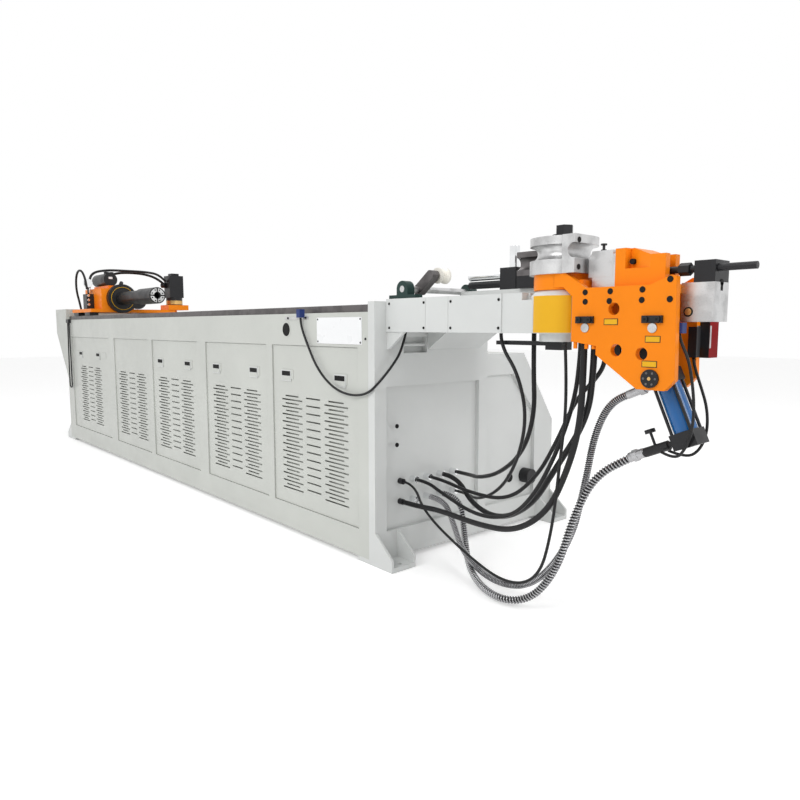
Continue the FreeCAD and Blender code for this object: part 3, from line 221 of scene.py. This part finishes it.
WIRE_STEEL = metal("wire_steel", (0.42, 0.42, 0.43), 0.28)
LABEL_YELLOW = paint("label_yellow", (0.78, 0.42, 0.012), 0.40, 0.03, 0.0, 0.2)
LABEL_WHITE = paint("label_white", (0.86, 0.87, 0.88), 0.30, 0.02, 0.0)
# Near-black plastic for black bolts and screws, also used as painted shade in holes, slots,
# sockets and latch recesses.
DEEP_BLACK = plastic("deep_black", (0.004, 0.004, 0.004), 0.7)
BRASS = metal("brass", (0.66, 0.42, 0.16), 0.35)
for subpart in frame["record"]["subparts"]:
    item = NODES[subpart["node"]]
    item.data.materials.clear()
    item.data.materials.append(MATERIALS[subpart["material_slot"]])


def recolour(node, material, inside):
    """Faces of a node whose middle passes the test take another finish."""
    mesh = NODES[node].data
    mesh.materials.append(material)
    last = len(mesh.materials) - 1
    for face in mesh.polygons:
        x, y, z = face.center - Vector(at(0, 0, 0))
        if inside(x, y, z):
            face.material_index = last


BLACK = MATERIALS["black_metal"]
STEEL = MATERIALS["machined_steel"]
CHROME = MATERIALS["bright_chrome"]
recolour("boost_block", CHROME, lambda x, y, z: z > 1.166)
recolour("boost_cylinders", CHROME, lambda x, y, z: z > 1.1275)
recolour("boost_cylinders", BLACK, lambda x, y, z: z < 1.1275)
recolour("end_block", BLACK, lambda x, y, z: z > 1.0671)
recolour("saddle", BLACK, lambda x, y, z: z < 1.0662)
recolour("arm_switches", BLACK, lambda x, y, z: y > 0.15)
recolour("valve_block", BLACK, lambda x, y, z: z < 1.25)
recolour("guide_rails", MATERIALS["dark_steel"], lambda x, y, z: y < 0.2)
recolour("terminal_box", BLACK, lambda x, y, z: y < 0.2365)
recolour("hose_fittings", CHROME, lambda x, y, z: 0.18 < y < 0.6)
recolour("hose_fittings", BLACK, lambda x, y, z: not 0.18 < y < 0.6)

# Hoses. Their routes repeat the points of the part's own source, in metres.
WRAP_RINGS = 8
WRAP_SIDES = 14


def centreline(name, points):
    """Points read from the smooth spline of a route."""
    data = bpy.data.curves.new(name, "CURVE")
    data.dimensions = "3D"
    data.resolution_u = 24
    spline = data.splines.new("NURBS")
    spline.points.add(len(points) - 1)
    for knot, point in zip(spline.points, points):
        knot.co = (*at(*point), 1)
    spline.order_u = 3
    spline.use_endpoint_u = True
    item = bpy.data.objects.new(name, data)
    bpy.context.collection.objects.link(item)
    bpy.context.view_layer.update()
    mesh = bpy.data.meshes.new_from_object(item)
    line = [vertex.co.copy() for vertex in mesh.vertices]
    bpy.data.meshes.remove(mesh)
    bpy.data.objects.remove(item)
    return line


def length_of(line):
    return sum((b - a).length for a, b in zip(line, line[1:]))


def spaced(line, step):
    """Points at even distances along the line, each with its direction."""
    total = length_of(line)
    count = max(8, round(total / step))
    result = []
    index = 0
    passed = 0.0
    for i in range(count + 1):
        distance = total * i / count
        run = line[index + 1] - line[index]
        while passed + run.length < distance and index < len(line) - 2:
            passed += run.length
            index += 1
            run = line[index + 1] - line[index]
        share = min(1.0, (distance - passed) / run.length)
        result.append((line[index] + run * share, run.normalized(), distance))
    return result


def tube(name, line, radius, materials, step, pitch=None, depth=0.0):
    """A tube along the line; with a pitch, a wire is wound round it in a helix."""
    stations = spaced(line, step)
    side = stations[0][1].orthogonal().normalized()
    vertices = []
    faces = []
    marks = []
    for place, direction, distance in stations:
        side = (side - direction * side.dot(direction)).normalized()
        across = direction.cross(side)
        for k in range(WRAP_SIDES):
            angle = 2 * math.pi * k / WRAP_SIDES
            crest = 0.0
            if pitch is not None:
                crest = max(0.0, math.cos(2 * math.pi * distance / pitch - angle))
            reach = radius + depth * crest
            vertices.append(
                place + side * (math.cos(angle) * reach) + across * (math.sin(angle) * reach)
            )
            marks.append(crest > 0.5)
    for i in range(len(stations) - 1):
        for k in range(WRAP_SIDES):
            low = i * WRAP_SIDES + k
            beside = i * WRAP_SIDES + (k + 1) % WRAP_SIDES
            faces.append((low, beside, beside + WRAP_SIDES, low + WRAP_SIDES))
    faces.append(tuple(reversed(range(WRAP_SIDES))))
    faces.append(tuple(range(len(vertices) - WRAP_SIDES, len(vertices))))
    mesh = bpy.data.meshes.new(name)
    mesh.from_pydata([tuple(v) for v in vertices], [], faces)
    for material in materials:
        mesh.materials.append(material)
    for face, corners in zip(mesh.polygons, faces):
        face.use_smooth = True
        face.material_index = min(len(materials) - 1, int(marks[corners[0]]))
    item = bpy.data.objects.new(name, mesh)
    bpy.context.collection.objects.link(item)
    return item


HOSES = {
    "grey_hose": (0.018, [
        (0.014, 0.290, 0.240), (0.096, 0.290, 0.240), (0.160, 0.272, 0.176),
        (0.285, 0.206, 0.078), (0.468, 0.176, 0.024), (0.640, 0.180, 0.062),
        (0.785, 0.176, 0.250), (0.835, 0.178, 0.470), (0.866, 0.168, 0.620),
        (0.925, 0.154, 0.728), (1.010, 0.150, 0.766), (1.068, 0.150, 0.792),
    ]),
    "coil_hose": (0.018, [
        (0.014, 0.368, 0.240), (0.116, 0.368, 0.240), (0.178, 0.322, 0.130),
        (0.330, 0.190, 0.024), (0.540, 0.090, 0.014), (0.668, 0.126, 0.036),
        (0.765, 0.138, 0.170), (0.822, 0.136, 0.360), (0.888, 0.142, 0.500),
        (1.005, 0.150, 0.575), (1.046, 0.150, 0.594),
    ]),
    "arm_hose": (0.020, [
        (0.014, 0.368, 0.325), (0.096, 0.368, 0.325), (0.224, 0.318, 0.244),
        (0.431, 0.247, 0.240), (0.624, 0.183, 0.344), (0.746, 0.143, 0.501),
        (0.866, 0.128, 0.672), (0.884, 0.126, 0.820), (0.884, 0.126, 0.909),
    ]),
    "tall_hose": (0.020, [
        (0.004, 0.146, 0.240), (0.084, 0.146, 0.240), (0.226, 0.136, 0.254),
        (0.433, 0.124, 0.246), (0.609, 0.114, 0.264), (0.747, 0.106, 0.364),
        (0.821, 0.099, 0.513), (0.862, 0.097, 0.657), (0.868, 0.097, 0.820),
        (0.868, 0.097, 0.909),
    ]),
    "beam_hose": (0.016, [
        (0.014, 0.446, 0.325), (0.084, 0.446, 0.325), (0.222, 0.364, 0.346),
        (0.407, 0.272, 0.410), (0.575, 0.190, 0.520), (0.636, 0.172, 0.660),
        (0.612, 0.190, 0.820), (0.612, 0.190, 0.932),
    ]),
}
# Hoses with a wound wire: its pitch and how far it stands proud
WOUND = {"grey_hose": (0.007, 0.003), "coil_hose": (0.011, 0.0045)}
hose_slots = {
    part["node"]: part["material_slot"] for part in frame["record"]["subparts"]
}
for name, (diameter, points) in HOSES.items():
    line = centreline(name + "_line", points)
    skin = MATERIALS[hose_slots[name]]
    if name in WOUND:
        pitch, depth = WOUND[name]
        diameter += 2 * depth
        piece = tube(
            name + "_look", line, diameter / 2 - depth, [skin, WIRE_STEEL],
            pitch / WRAP_RINGS, pitch, depth,
        )
    else:
        piece = tube(name + "_look", line, diameter / 2, [skin], 0.008)
    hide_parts(name)
    if name == "beam_hose":
        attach(piece, "bed")
    else:
        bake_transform(piece)

# Thin cables and hoses that the solids leave out: diameter, body or bodies, and route
CABLES = {
    "thin_cable": (0.010, ("bed", "bend_arm"), [
        (0.004, 0.146, 0.325), (0.070, 0.146, 0.325), (0.131, 0.141, 0.226),
        (0.354, 0.125, 0.130), (0.573, 0.109, 0.070), (0.720, 0.099, 0.130),
        (0.773, 0.094, 0.313), (0.797, 0.092, 0.542), (0.817, 0.093, 0.731),
        (0.802, 0.095, 0.905),
    ]),
    "low_hose": (0.014, ("bed", "bend_arm"), [
        (0.014, 0.212, 0.325), (0.080, 0.212, 0.325), (0.157, 0.204, 0.302),
        (0.393, 0.160, 0.262), (0.571, 0.135, 0.300), (0.684, 0.118, 0.405),
        (0.764, 0.125, 0.563), (0.815, 0.135, 0.727), (0.830, 0.135, 0.860),
        (0.830, 0.135, 0.905),
    ]),
    "second_arm_hose": (0.014, ("bed", "bend_arm"), [
        (0.014, 0.290, 0.325), (0.080, 0.290, 0.325), (0.253, 0.263, 0.310),
        (0.467, 0.240, 0.320), (0.617, 0.215, 0.437), (0.710, 0.200, 0.582),
        (0.780, 0.190, 0.721), (0.870, 0.172, 0.800), (0.900, 0.165, 0.850),
        (0.900, 0.165, 0.908),
    ]),
    "second_beam_hose": (0.012, ("bed",), [
        (0.014, 0.446, 0.240), (0.070, 0.446, 0.240), (0.232, 0.345, 0.260),
        (0.450, 0.220, 0.360), (0.600, 0.130, 0.500), (0.660, 0.100, 0.660),
        (0.620, 0.100, 0.800), (0.545, 0.100, 0.890), (0.545, 0.100, 0.931),
    ]),
    "switch_cable": (0.008, ("bend_arm",), [
        (1.157, 0.096, 0.934), (1.163, 0.096, 0.912), (1.190, 0.088, 0.868),
        (1.204, 0.085, 0.807), (1.210, 0.088, 0.747), (1.204, 0.098, 0.682),
        (1.182, 0.108, 0.625), (1.150, 0.120, 0.592), (1.105, 0.130, 0.605),
    ]),
    "side_switch_cable": (0.008, ("bend_arm",), [
        (1.147, 0.205, 0.867), (1.152, 0.205, 0.840), (1.168, 0.212, 0.790),
        (1.190, 0.210, 0.730), (1.196, 0.205, 0.665), (1.180, 0.200, 0.612),
        (1.150, 0.185, 0.588), (1.105, 0.168, 0.605),
    ]),
    "sensor_cable": (0.010, ("bed",), [
        (-0.496, -0.013, 0.991), (-0.496, -0.013, 0.960), (-0.446, -0.012, 0.874),
        (-0.372, -0.012, 0.772), (-0.262, -0.012, 0.700), (-0.143, -0.012, 0.676),
        (-0.030, -0.014, 0.690), (0.026, 0.000, 0.738), (0.034, 0.060, 0.800),
        (0.034, 0.110, 0.860), (0.030, 0.135, 0.931),
    ]),
    "valve_hose": (0.019, ("carriage",), [
        (-3.740, 0.086, 1.240), (-3.745, 0.086, 1.300), (-3.750, 0.110, 1.385),
        (-3.730, 0.220, 1.412), (-3.690, 0.380, 1.410), (-3.640, 0.520, 1.405),
        (-3.605, 0.610, 1.385), (-3.595, 0.655, 1.330),
    ]),
    "motor_cable": (0.020, ("carriage",), [
        (-3.780, 0.250, 1.365), (-3.770, 0.300, 1.392), (-3.730, 0.400, 1.400),
        (-3.680, 0.520, 1.390), (-3.630, 0.610, 1.350), (-3.610, 0.655, 1.300),
    ]),
    "return_hose": (0.017, ("carriage",), [
        (-3.715, 0.060, 1.250), (-3.720, 0.056, 1.320), (-3.770, 0.045, 1.400),
        (-3.840, 0.035, 1.405), (-3.905, 0.035, 1.350), (-3.945, 0.045, 1.250),
        (-3.960, 0.070, 1.150), (-3.960, 0.080, 1.093),
    ]),
    "tail_cable": (0.010, ("bed",), [
        (-4.030, -0.012, 0.990), (-4.036, -0.013, 0.800), (-4.044, -0.014, 0.620),
        (-4.044, -0.014, 0.510), (-4.044, -0.014, 0.450), (-3.984, -0.014, 0.450),
        (-3.984, -0.014, 0.510), (-3.984, -0.013, 0.640), (-3.988, -0.013, 0.800),
        (-3.992, -0.012, 0.990),
    ]),
}
for name, (diameter, holders, points) in CABLES.items():
    line = centreline(name + "_line", points)
    piece = tube(name, line, diameter / 2, [MATERIALS["hose_rubber"]], 0.008)
    if len(holders) == 1:
        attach(piece, holders[0])
    else:
        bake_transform(piece)


# Small fixings, plates and labels. Each group is one mesh of one finish.
def rod(a, b, radius, sides=20):
    """A round bar between two bed places."""
    return ("rod", a, b, radius, sides)


def slab(low, high):
    """A block between its lowest and highest corners."""
    return ("slab", low, high)


def group(name, body, material, parts, edge=0.0006):
    work = bmesh.new()
    for kind, a, b, *rest in parts:
        start = Vector(at(*a))
        end = Vector(at(*b))
        middle = Matrix.Translation((start + end) / 2)
        if kind == "rod":
            turn = (end - start).to_track_quat("Z", "Y").to_matrix().to_4x4()
            bmesh.ops.create_cone(
                work, cap_ends=True, segments=rest[1], radius1=rest[0], radius2=rest[0],
                depth=(end - start).length, matrix=middle @ turn,
            )
        else:
            size = Matrix.Diagonal((*(end - start), 1))
            bmesh.ops.create_cube(work, size=1, matrix=middle @ size)
    mesh = bpy.data.meshes.new(name)
    work.to_mesh(mesh)
    work.free()
    mesh.materials.append(material)
    item = bpy.data.objects.new(name, mesh)
    bpy.context.collection.objects.link(item)
    rounding = item.modifiers.new("edges", "BEVEL")
    rounding.width = edge
    rounding.segments = 2
    rounding.limit_method = "ANGLE"
    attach(item, body)


def on_circle(centre, radius, turn):
    """The two coordinates of a place on a circle."""
    return centre[0] + radius * math.cos(turn), centre[1] + radius * math.sin(turn)


PLATE_FACE = 0.064
ARM_BOLTS = [
    (0.888, 1.051), (0.889, 1.024), (0.969, 1.051), (0.967, 1.024),
    (1.066, 1.052), (1.065, 1.024), (1.143, 1.076), (1.144, 1.024),
]
group("arm_bolts", "bend_arm", DEEP_BLACK, [
    rod((x, PLATE_FACE - 0.0015, z), (x, PLATE_FACE + 0.004, z), 0.0085) for x, z in ARM_BOLTS
])
TAB_FACE = 0.056
TABS = (0.891, 1.099)
group("tab_bolts", "bend_arm", BLACK, [
    rod((x + side, TAB_FACE - 0.006, 0.972), (x + side, TAB_FACE, 0.972), 0.008)
    for x in TABS for side in (-0.017, 0.017)
])
# Near-black hex discs in the tab bolt heads: painted shade standing in for the shaded socket
# recesses.
group("tab_socket_painted_shade", "bend_arm", DEEP_BLACK, [
    rod((x + side, TAB_FACE - 0.0066, 0.972), (x + side, TAB_FACE, 0.972), 0.0035, 6)
    for x in TABS for side in (-0.017, 0.017)
], 0.0)
PIVOT = (1.098, 0.813)
CAP_FACE = 0.058
CAP_CIRCLE = 0.017
cap_places = [on_circle(PIVOT, CAP_CIRCLE, k * math.pi / 3) for k in range(6)]
group("pivot_cap_bolts", "bend_arm", MATERIALS["dark_steel"], [
    rod((x, CAP_FACE - 0.001, z), (x, CAP_FACE, z), 0.0032, 12) for x, z in cap_places
], 0.0)
group("pivot_cap_centre", "bend_arm", BRASS, [
    rod((PIVOT[0], CAP_FACE - 0.002, PIVOT[1]), (PIVOT[0], CAP_FACE, PIVOT[1]), 0.005),
])
TAGS = [(0.974, 0.966), (1.101, 0.919), (1.094, 0.852)]
BORDER_HALF = (0.022, 0.009)
TAG_HALF = (0.020, 0.0072)
group("tag_borders", "bend_arm", BLACK, [
    slab(
        (x - BORDER_HALF[0], PLATE_FACE - 0.0008, z - BORDER_HALF[1]),
        (x + BORDER_HALF[0], PLATE_FACE, z + BORDER_HALF[1]),
    )
    for x, z in TAGS
], 0.0002)
group("tags", "bend_arm", LABEL_YELLOW, [
    slab(
        (x - TAG_HALF[0], PLATE_FACE - 0.0013, z - TAG_HALF[1]),
        (x + TAG_HALF[0], PLATE_FACE, z + TAG_HALF[1]),
    )
    for x, z in TAGS
], 0.0002)
group("arm_studs", "bend_arm", MATERIALS["orange_paint"], [
    rod((x, 0.074, 0.888), (x, 0.074, 0.912), 0.006) for x in (0.853, 0.891, 0.915)
])
group("switch_bracket", "bend_arm", STEEL, [
    slab((1.1155, 0.2365, 0.893), (1.1765, 0.244, 0.955)),
    slab((1.1435, 0.2165, 0.893), (1.1500, 0.236, 0.955)),
])
group("end_block_ring", "bend_arm", DEEP_BLACK, [
    rod((1.172, 0.1088, 0.991), (1.172, 0.112, 0.991), 0.013),
])
group("end_block_pin", "bend_arm", BRASS, [
    rod((1.172, 0.108, 0.991), (1.172, 0.112, 0.991), 0.009),
])
# A thin near-black slot shape on the end block: painted shade where the slot opening is.
group("end_block_slot_painted_shade", "bend_arm", DEEP_BLACK, [
    slab((1.2385, 0.143, 1.045), (1.2396, 0.155, 1.066)),
    rod((1.2385, 0.149, 1.066), (1.2396, 0.149, 1.066), 0.009),
], 0.0)
group("grip_bolts", "bend_arm", DEEP_BLACK, [
    rod((0.853, 0.076, z), (0.8562, 0.076, z), 0.0085) for z in (1.205, 1.127)
])
group("grey_hose_ferrule", "bend_arm", WIRE_STEEL, [
    rod((0.985, 0.1505, 0.7545), (1.062, 0.150, 0.7895), 0.0125),
    rod((1.022, 0.150, 0.7715), (1.040, 0.150, 0.7795), 0.0165, 6),
])
group("coil_hose_ferrule", "bend_arm", WIRE_STEEL, [
    rod((1.000, 0.1495, 0.5725), (1.044, 0.150, 0.593), 0.0145),
    rod((1.010, 0.150, 0.5775), (1.026, 0.150, 0.5848), 0.018, 6),
])
group("arm_inner_plate", "bend_arm", BLACK, [
    slab((0.935, 0.2095, 0.835), (1.060, 0.2155, 0.935)),
    slab((0.908, 0.150, 0.859), (0.956, 0.156, 0.909)),
])
group("nut_washer", "bend_arm", BLACK, [
    rod((0.751, 0.150, 1.222), (0.751, 0.150, 1.232), 0.041, 36),
])
group("slide_bolt", "clamp_carrier", DEEP_BLACK, [
    rod((1.014, 0.096, 1.132), (1.014, 0.122, 1.132), 0.008),
])
group("die_screw", "clamp_carrier", BLACK, [
    rod((0.903, 0.130, 1.170), (0.903, 0.130, 1.190), 0.004),
    rod((0.903, 0.130, 1.188), (0.903, 0.130, 1.193), 0.009),
    rod((0.903, 0.130, 1.172), (0.903, 0.130, 1.176), 0.008),
])

# Bend head beam
COVER_FACE = 0.058
group("cover_screws", "bed", DEEP_BLACK, [
    rod((x, COVER_FACE - 0.0015, z), (x, COVER_FACE + 0.002, z), 0.005, 14)
    for x in (0.019, 0.213, 0.350, 0.568) for z in (1.040, 0.948)
])
COLUMN = (0.751, 0.150)
LABEL_RADIUS = 0.1006
LABEL_TURNS = (-116, -40)
LABEL_STEPS = 24


def column_label(low, high, material, name):
    """A thin bare label wrapped on the column between two heights."""
    vertices = []
    for i in range(LABEL_STEPS + 1):
        turn = LABEL_TURNS[0] + (LABEL_TURNS[1] - LABEL_TURNS[0]) * i / LABEL_STEPS
        x, y = on_circle(COLUMN, LABEL_RADIUS, math.radians(turn))
        vertices += [at(x, y, low), at(x, y, high)]
    faces = [(2 * i, 2 * i + 2, 2 * i + 3, 2 * i + 1) for i in range(LABEL_STEPS)]
    mesh = bpy.data.meshes.new(name)
    mesh.from_pydata(vertices, [], faces)
    mesh.materials.append(material)
    for face in mesh.polygons:
        face.use_smooth = True
    item = bpy.data.objects.new(name, mesh)
    bpy.context.collection.objects.link(item)
    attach(item, "bed")


column_label(0.934, 1.046, LABEL_YELLOW, "column_label")

# Door side of the bed
group("name_plate", "bed", LABEL_WHITE, [
    slab((-0.388, -0.002, 0.882), (-0.078, 0.0002, 0.991)),
])
group("plate_screws", "bed", BLACK, [
    rod((x, -0.0035, z), (x, -0.001, z), 0.004, 12)
    for x in (-0.380, -0.086) for z in (0.890, 0.983)
] + [rod((-0.055, -0.003, 0.905), (-0.055, 0.001, 0.905), 0.005, 12)])
group("cable_hole_rim", "bed", MATERIALS["cabinet_paint"], [
    rod((-0.634, -0.0015, 0.940), (-0.634, 0.001, 0.940), 0.037, 36),
])
# A near-black disc inside the rim: painted shade for the shaded opening of the cable hole.
group("cable_hole_painted_shade", "bed", DEEP_BLACK, [
    rod((-0.634, -0.0022, 0.940), (-0.634, 0.001, 0.940), 0.030, 36),
], 0.0)
LATCH_HALF = 0.040
PAD_HALF = 0.035
LATCHES = (-0.648, -0.233, -1.357, -0.952, -2.126, -1.724, -3.760, -3.336)
group("latch_frames", "bed", MATERIALS["plate_paint"], [
    slab((x - LATCH_HALF, 0.0020, 0.704), (x + LATCH_HALF, 0.005, 0.756)) for x in LATCHES
])
# Near-black slabs above each latch pad: painted shade for the shaded upper part of the latch
# recess.
group("latch_recess_painted_shade", "bed", DEEP_BLACK, [
    slab((x - PAD_HALF, 0.0012, 0.730), (x + PAD_HALF, 0.004, 0.751)) for x in LATCHES
], 0.0002)
group("latch_pads", "bed", MATERIALS["cabinet_paint"], [
    slab((x - PAD_HALF, 0.0008, 0.709), (x + PAD_HALF, 0.004, 0.729)) for x in LATCHES
], 0.0004)
group("tail_clip", "bed", BLACK, [
    slab((-4.045, -0.022, 0.985), (-3.980, 0.0, 1.015)),
])
group("front_plate_bolts", "bed", DEEP_BLACK, [
    rod((-0.0220, 0.845, 0.233), (-0.0175, 0.845, 0.233), 0.022, 24),
] + [rod((-0.001, 0.114, z), (0.002, 0.114, z), 0.009) for z in (0.556, 0.480)], 0.0)
group("sensor_bracket", "bed", STEEL, [
    slab((-0.640, -0.003, 0.984), (-0.452, 0.0003, 0.997)),
])
group("bracket_screws", "bed", BLACK, [
    rod((x, -0.006, 0.9905), (x, -0.002, 0.9905), 0.005, 12) for x in (-0.615, -0.470)
])

# Carriage
group("servo_band", "carriage", BRASS, [
    rod((-3.590, 0.722, 1.140), (-3.590, 0.722, 1.172), 0.0665, 40),
])
group("servo_top", "carriage", BLACK, [
    slab((-3.650, 0.665, 1.310), (-3.534, 0.779, 1.318)),
    slab((-3.625, 0.690, 1.376), (-3.555, 0.754, 1.398)),
    rod((-3.640, 0.640, 1.300), (-3.610, 0.660, 1.300), 0.022),
])
SPINDLE = (0.252, 1.175)
RING_CIRCLE = 0.088
JAW_CIRCLE = 0.040
ring_places = [on_circle(SPINDLE, RING_CIRCLE, math.radians(15 * k)) for k in range(25)]
group("cover_ring", "carriage", LABEL_YELLOW, [
    rod((-3.463, *a), (-3.463, *b), 0.0018, 8) for a, b in zip(ring_places, ring_places[1:])
], 0.0)
group("gear_housing", "carriage", BLACK, [
    rod((-3.509, 0.375, 1.160), (-3.472, 0.375, 1.160), 0.066, 36),
    rod((-3.500, 0.252, 1.287), (-3.480, 0.252, 1.300), 0.014),
])
group("motor_bosses", "carriage", BLACK, [
    slab((-3.700, 0.190, 1.372), (-3.655, 0.215, 1.392)),
    slab((-3.700, 0.227, 1.372), (-3.655, 0.252, 1.392)),
    rod((-3.665, 0.221, 1.330), (-3.6375, 0.221, 1.330), 0.053, 36),
])
group("motor_label", "carriage", LABEL_WHITE, [
    slab((-3.6380, 0.206, 1.335), (-3.6368, 0.236, 1.352)),
], 0.0001)
group("valves", "carriage", CHROME, [
    rod((-3.690, 0.060, z), (-3.680, 0.060, z), 0.010) for z in (1.130, 1.165, 1.200)
] + [rod((-3.740, 0.086, 1.225), (-3.740, 0.086, 1.262), 0.011, 6)])
jaw_places = [on_circle(SPINDLE, JAW_CIRCLE, math.radians(22.5 + 45 * k)) for k in range(8)]
group("jaw_bolts", "chuck", DEEP_BLACK, [
    rod((-2.7605, *place), (-2.7592, *place), 0.005, 14) for place in jaw_places
], 0.0)

# Floor and light
FLOOR_SIDE = 40.0
FLOOR_LEVEL = -0.0005
FLOOR_GLOW = 0.28


def background_rays(tree):
    """1 for the rays that show the background: to the camera, in gloss and through glass."""
    rays = tree.nodes.new("ShaderNodeLightPath")
    result = rays.outputs["Is Camera Ray"]
    for kind in ("Is Glossy Ray", "Is Transmission Ray"):
        higher = tree.nodes.new("ShaderNodeMath")
        higher.operation = "MAXIMUM"
        tree.links.new(result, higher.inputs[0])
        tree.links.new(rays.outputs[kind], higher.inputs[1])
        result = higher.outputs[0]
    return result


bpy.ops.mesh.primitive_plane_add(size=FLOOR_SIDE, location=(0, 0, FLOOR_LEVEL))
floor = bpy.context.object
floor.name = "floor"
floor_shader = Shader("floor")
floor_shader.out.inputs["Base Color"].default_value = (0.93, 0.93, 0.93, 1)
floor_shader.out.inputs["Roughness"].default_value = 0.85
floor_shader.out.inputs["Emission Color"].default_value = (1, 1, 1, 1)
glow = floor_shader.add("ShaderNodeMath", operation="MULTIPLY")
glow.inputs[1].default_value = FLOOR_GLOW
floor_shader.tree.links.new(background_rays(floor_shader.tree), glow.inputs[0])
floor_shader.link(glow, 0, floor_shader.out, "Emission Strength")
floor.data.materials.append(floor_shader.material)

world = bpy.data.worlds.new("studio")
world.use_nodes = True
LIGHT_STRENGTH = 0.68
sky = world.node_tree.nodes
soft = sky["Background"]
soft.inputs["Color"].default_value = (1, 1, 1, 1)
soft.inputs["Strength"].default_value = LIGHT_STRENGTH
backdrop = sky.new("ShaderNodeBackground")
backdrop.inputs["Color"].default_value = (1, 1, 1, 1)
choose = sky.new("ShaderNodeMixShader")
world.node_tree.links.new(background_rays(world.node_tree), choose.inputs["Fac"])
world.node_tree.links.new(soft.outputs["Background"], choose.inputs[1])
world.node_tree.links.new(backdrop.outputs["Background"], choose.inputs[2])
world.node_tree.links.new(choose.outputs["Shader"], sky["World Output"].inputs["Surface"])
scene.world = world


def soft_light(name, place, target, size, power):
    lamp = bpy.data.lights.new(name, "AREA")
    lamp.shape = "DISK"
    lamp.size = size
    lamp.energy = power
    item = bpy.data.objects.new(name, lamp)
    bpy.context.collection.objects.link(item)
    item.location = place
    direction = Vector(target) - Vector(place)
    item.rotation_euler = direction.to_track_quat("-Z", "Y").to_euler()


soft_light("key_light", at(0.5, -4.5, 4.2), at(-0.6, 0.2, 0.7), 3.0, 110)
soft_light("head_light", at(4.5, 0.5, 3.2), at(0.4, 0.2, 0.8), 2.0, 55)
soft_light("top_light", at(-2.0, 0.3, 5.0), at(-2.0, 0.3, 0.8), 4.0, 60)
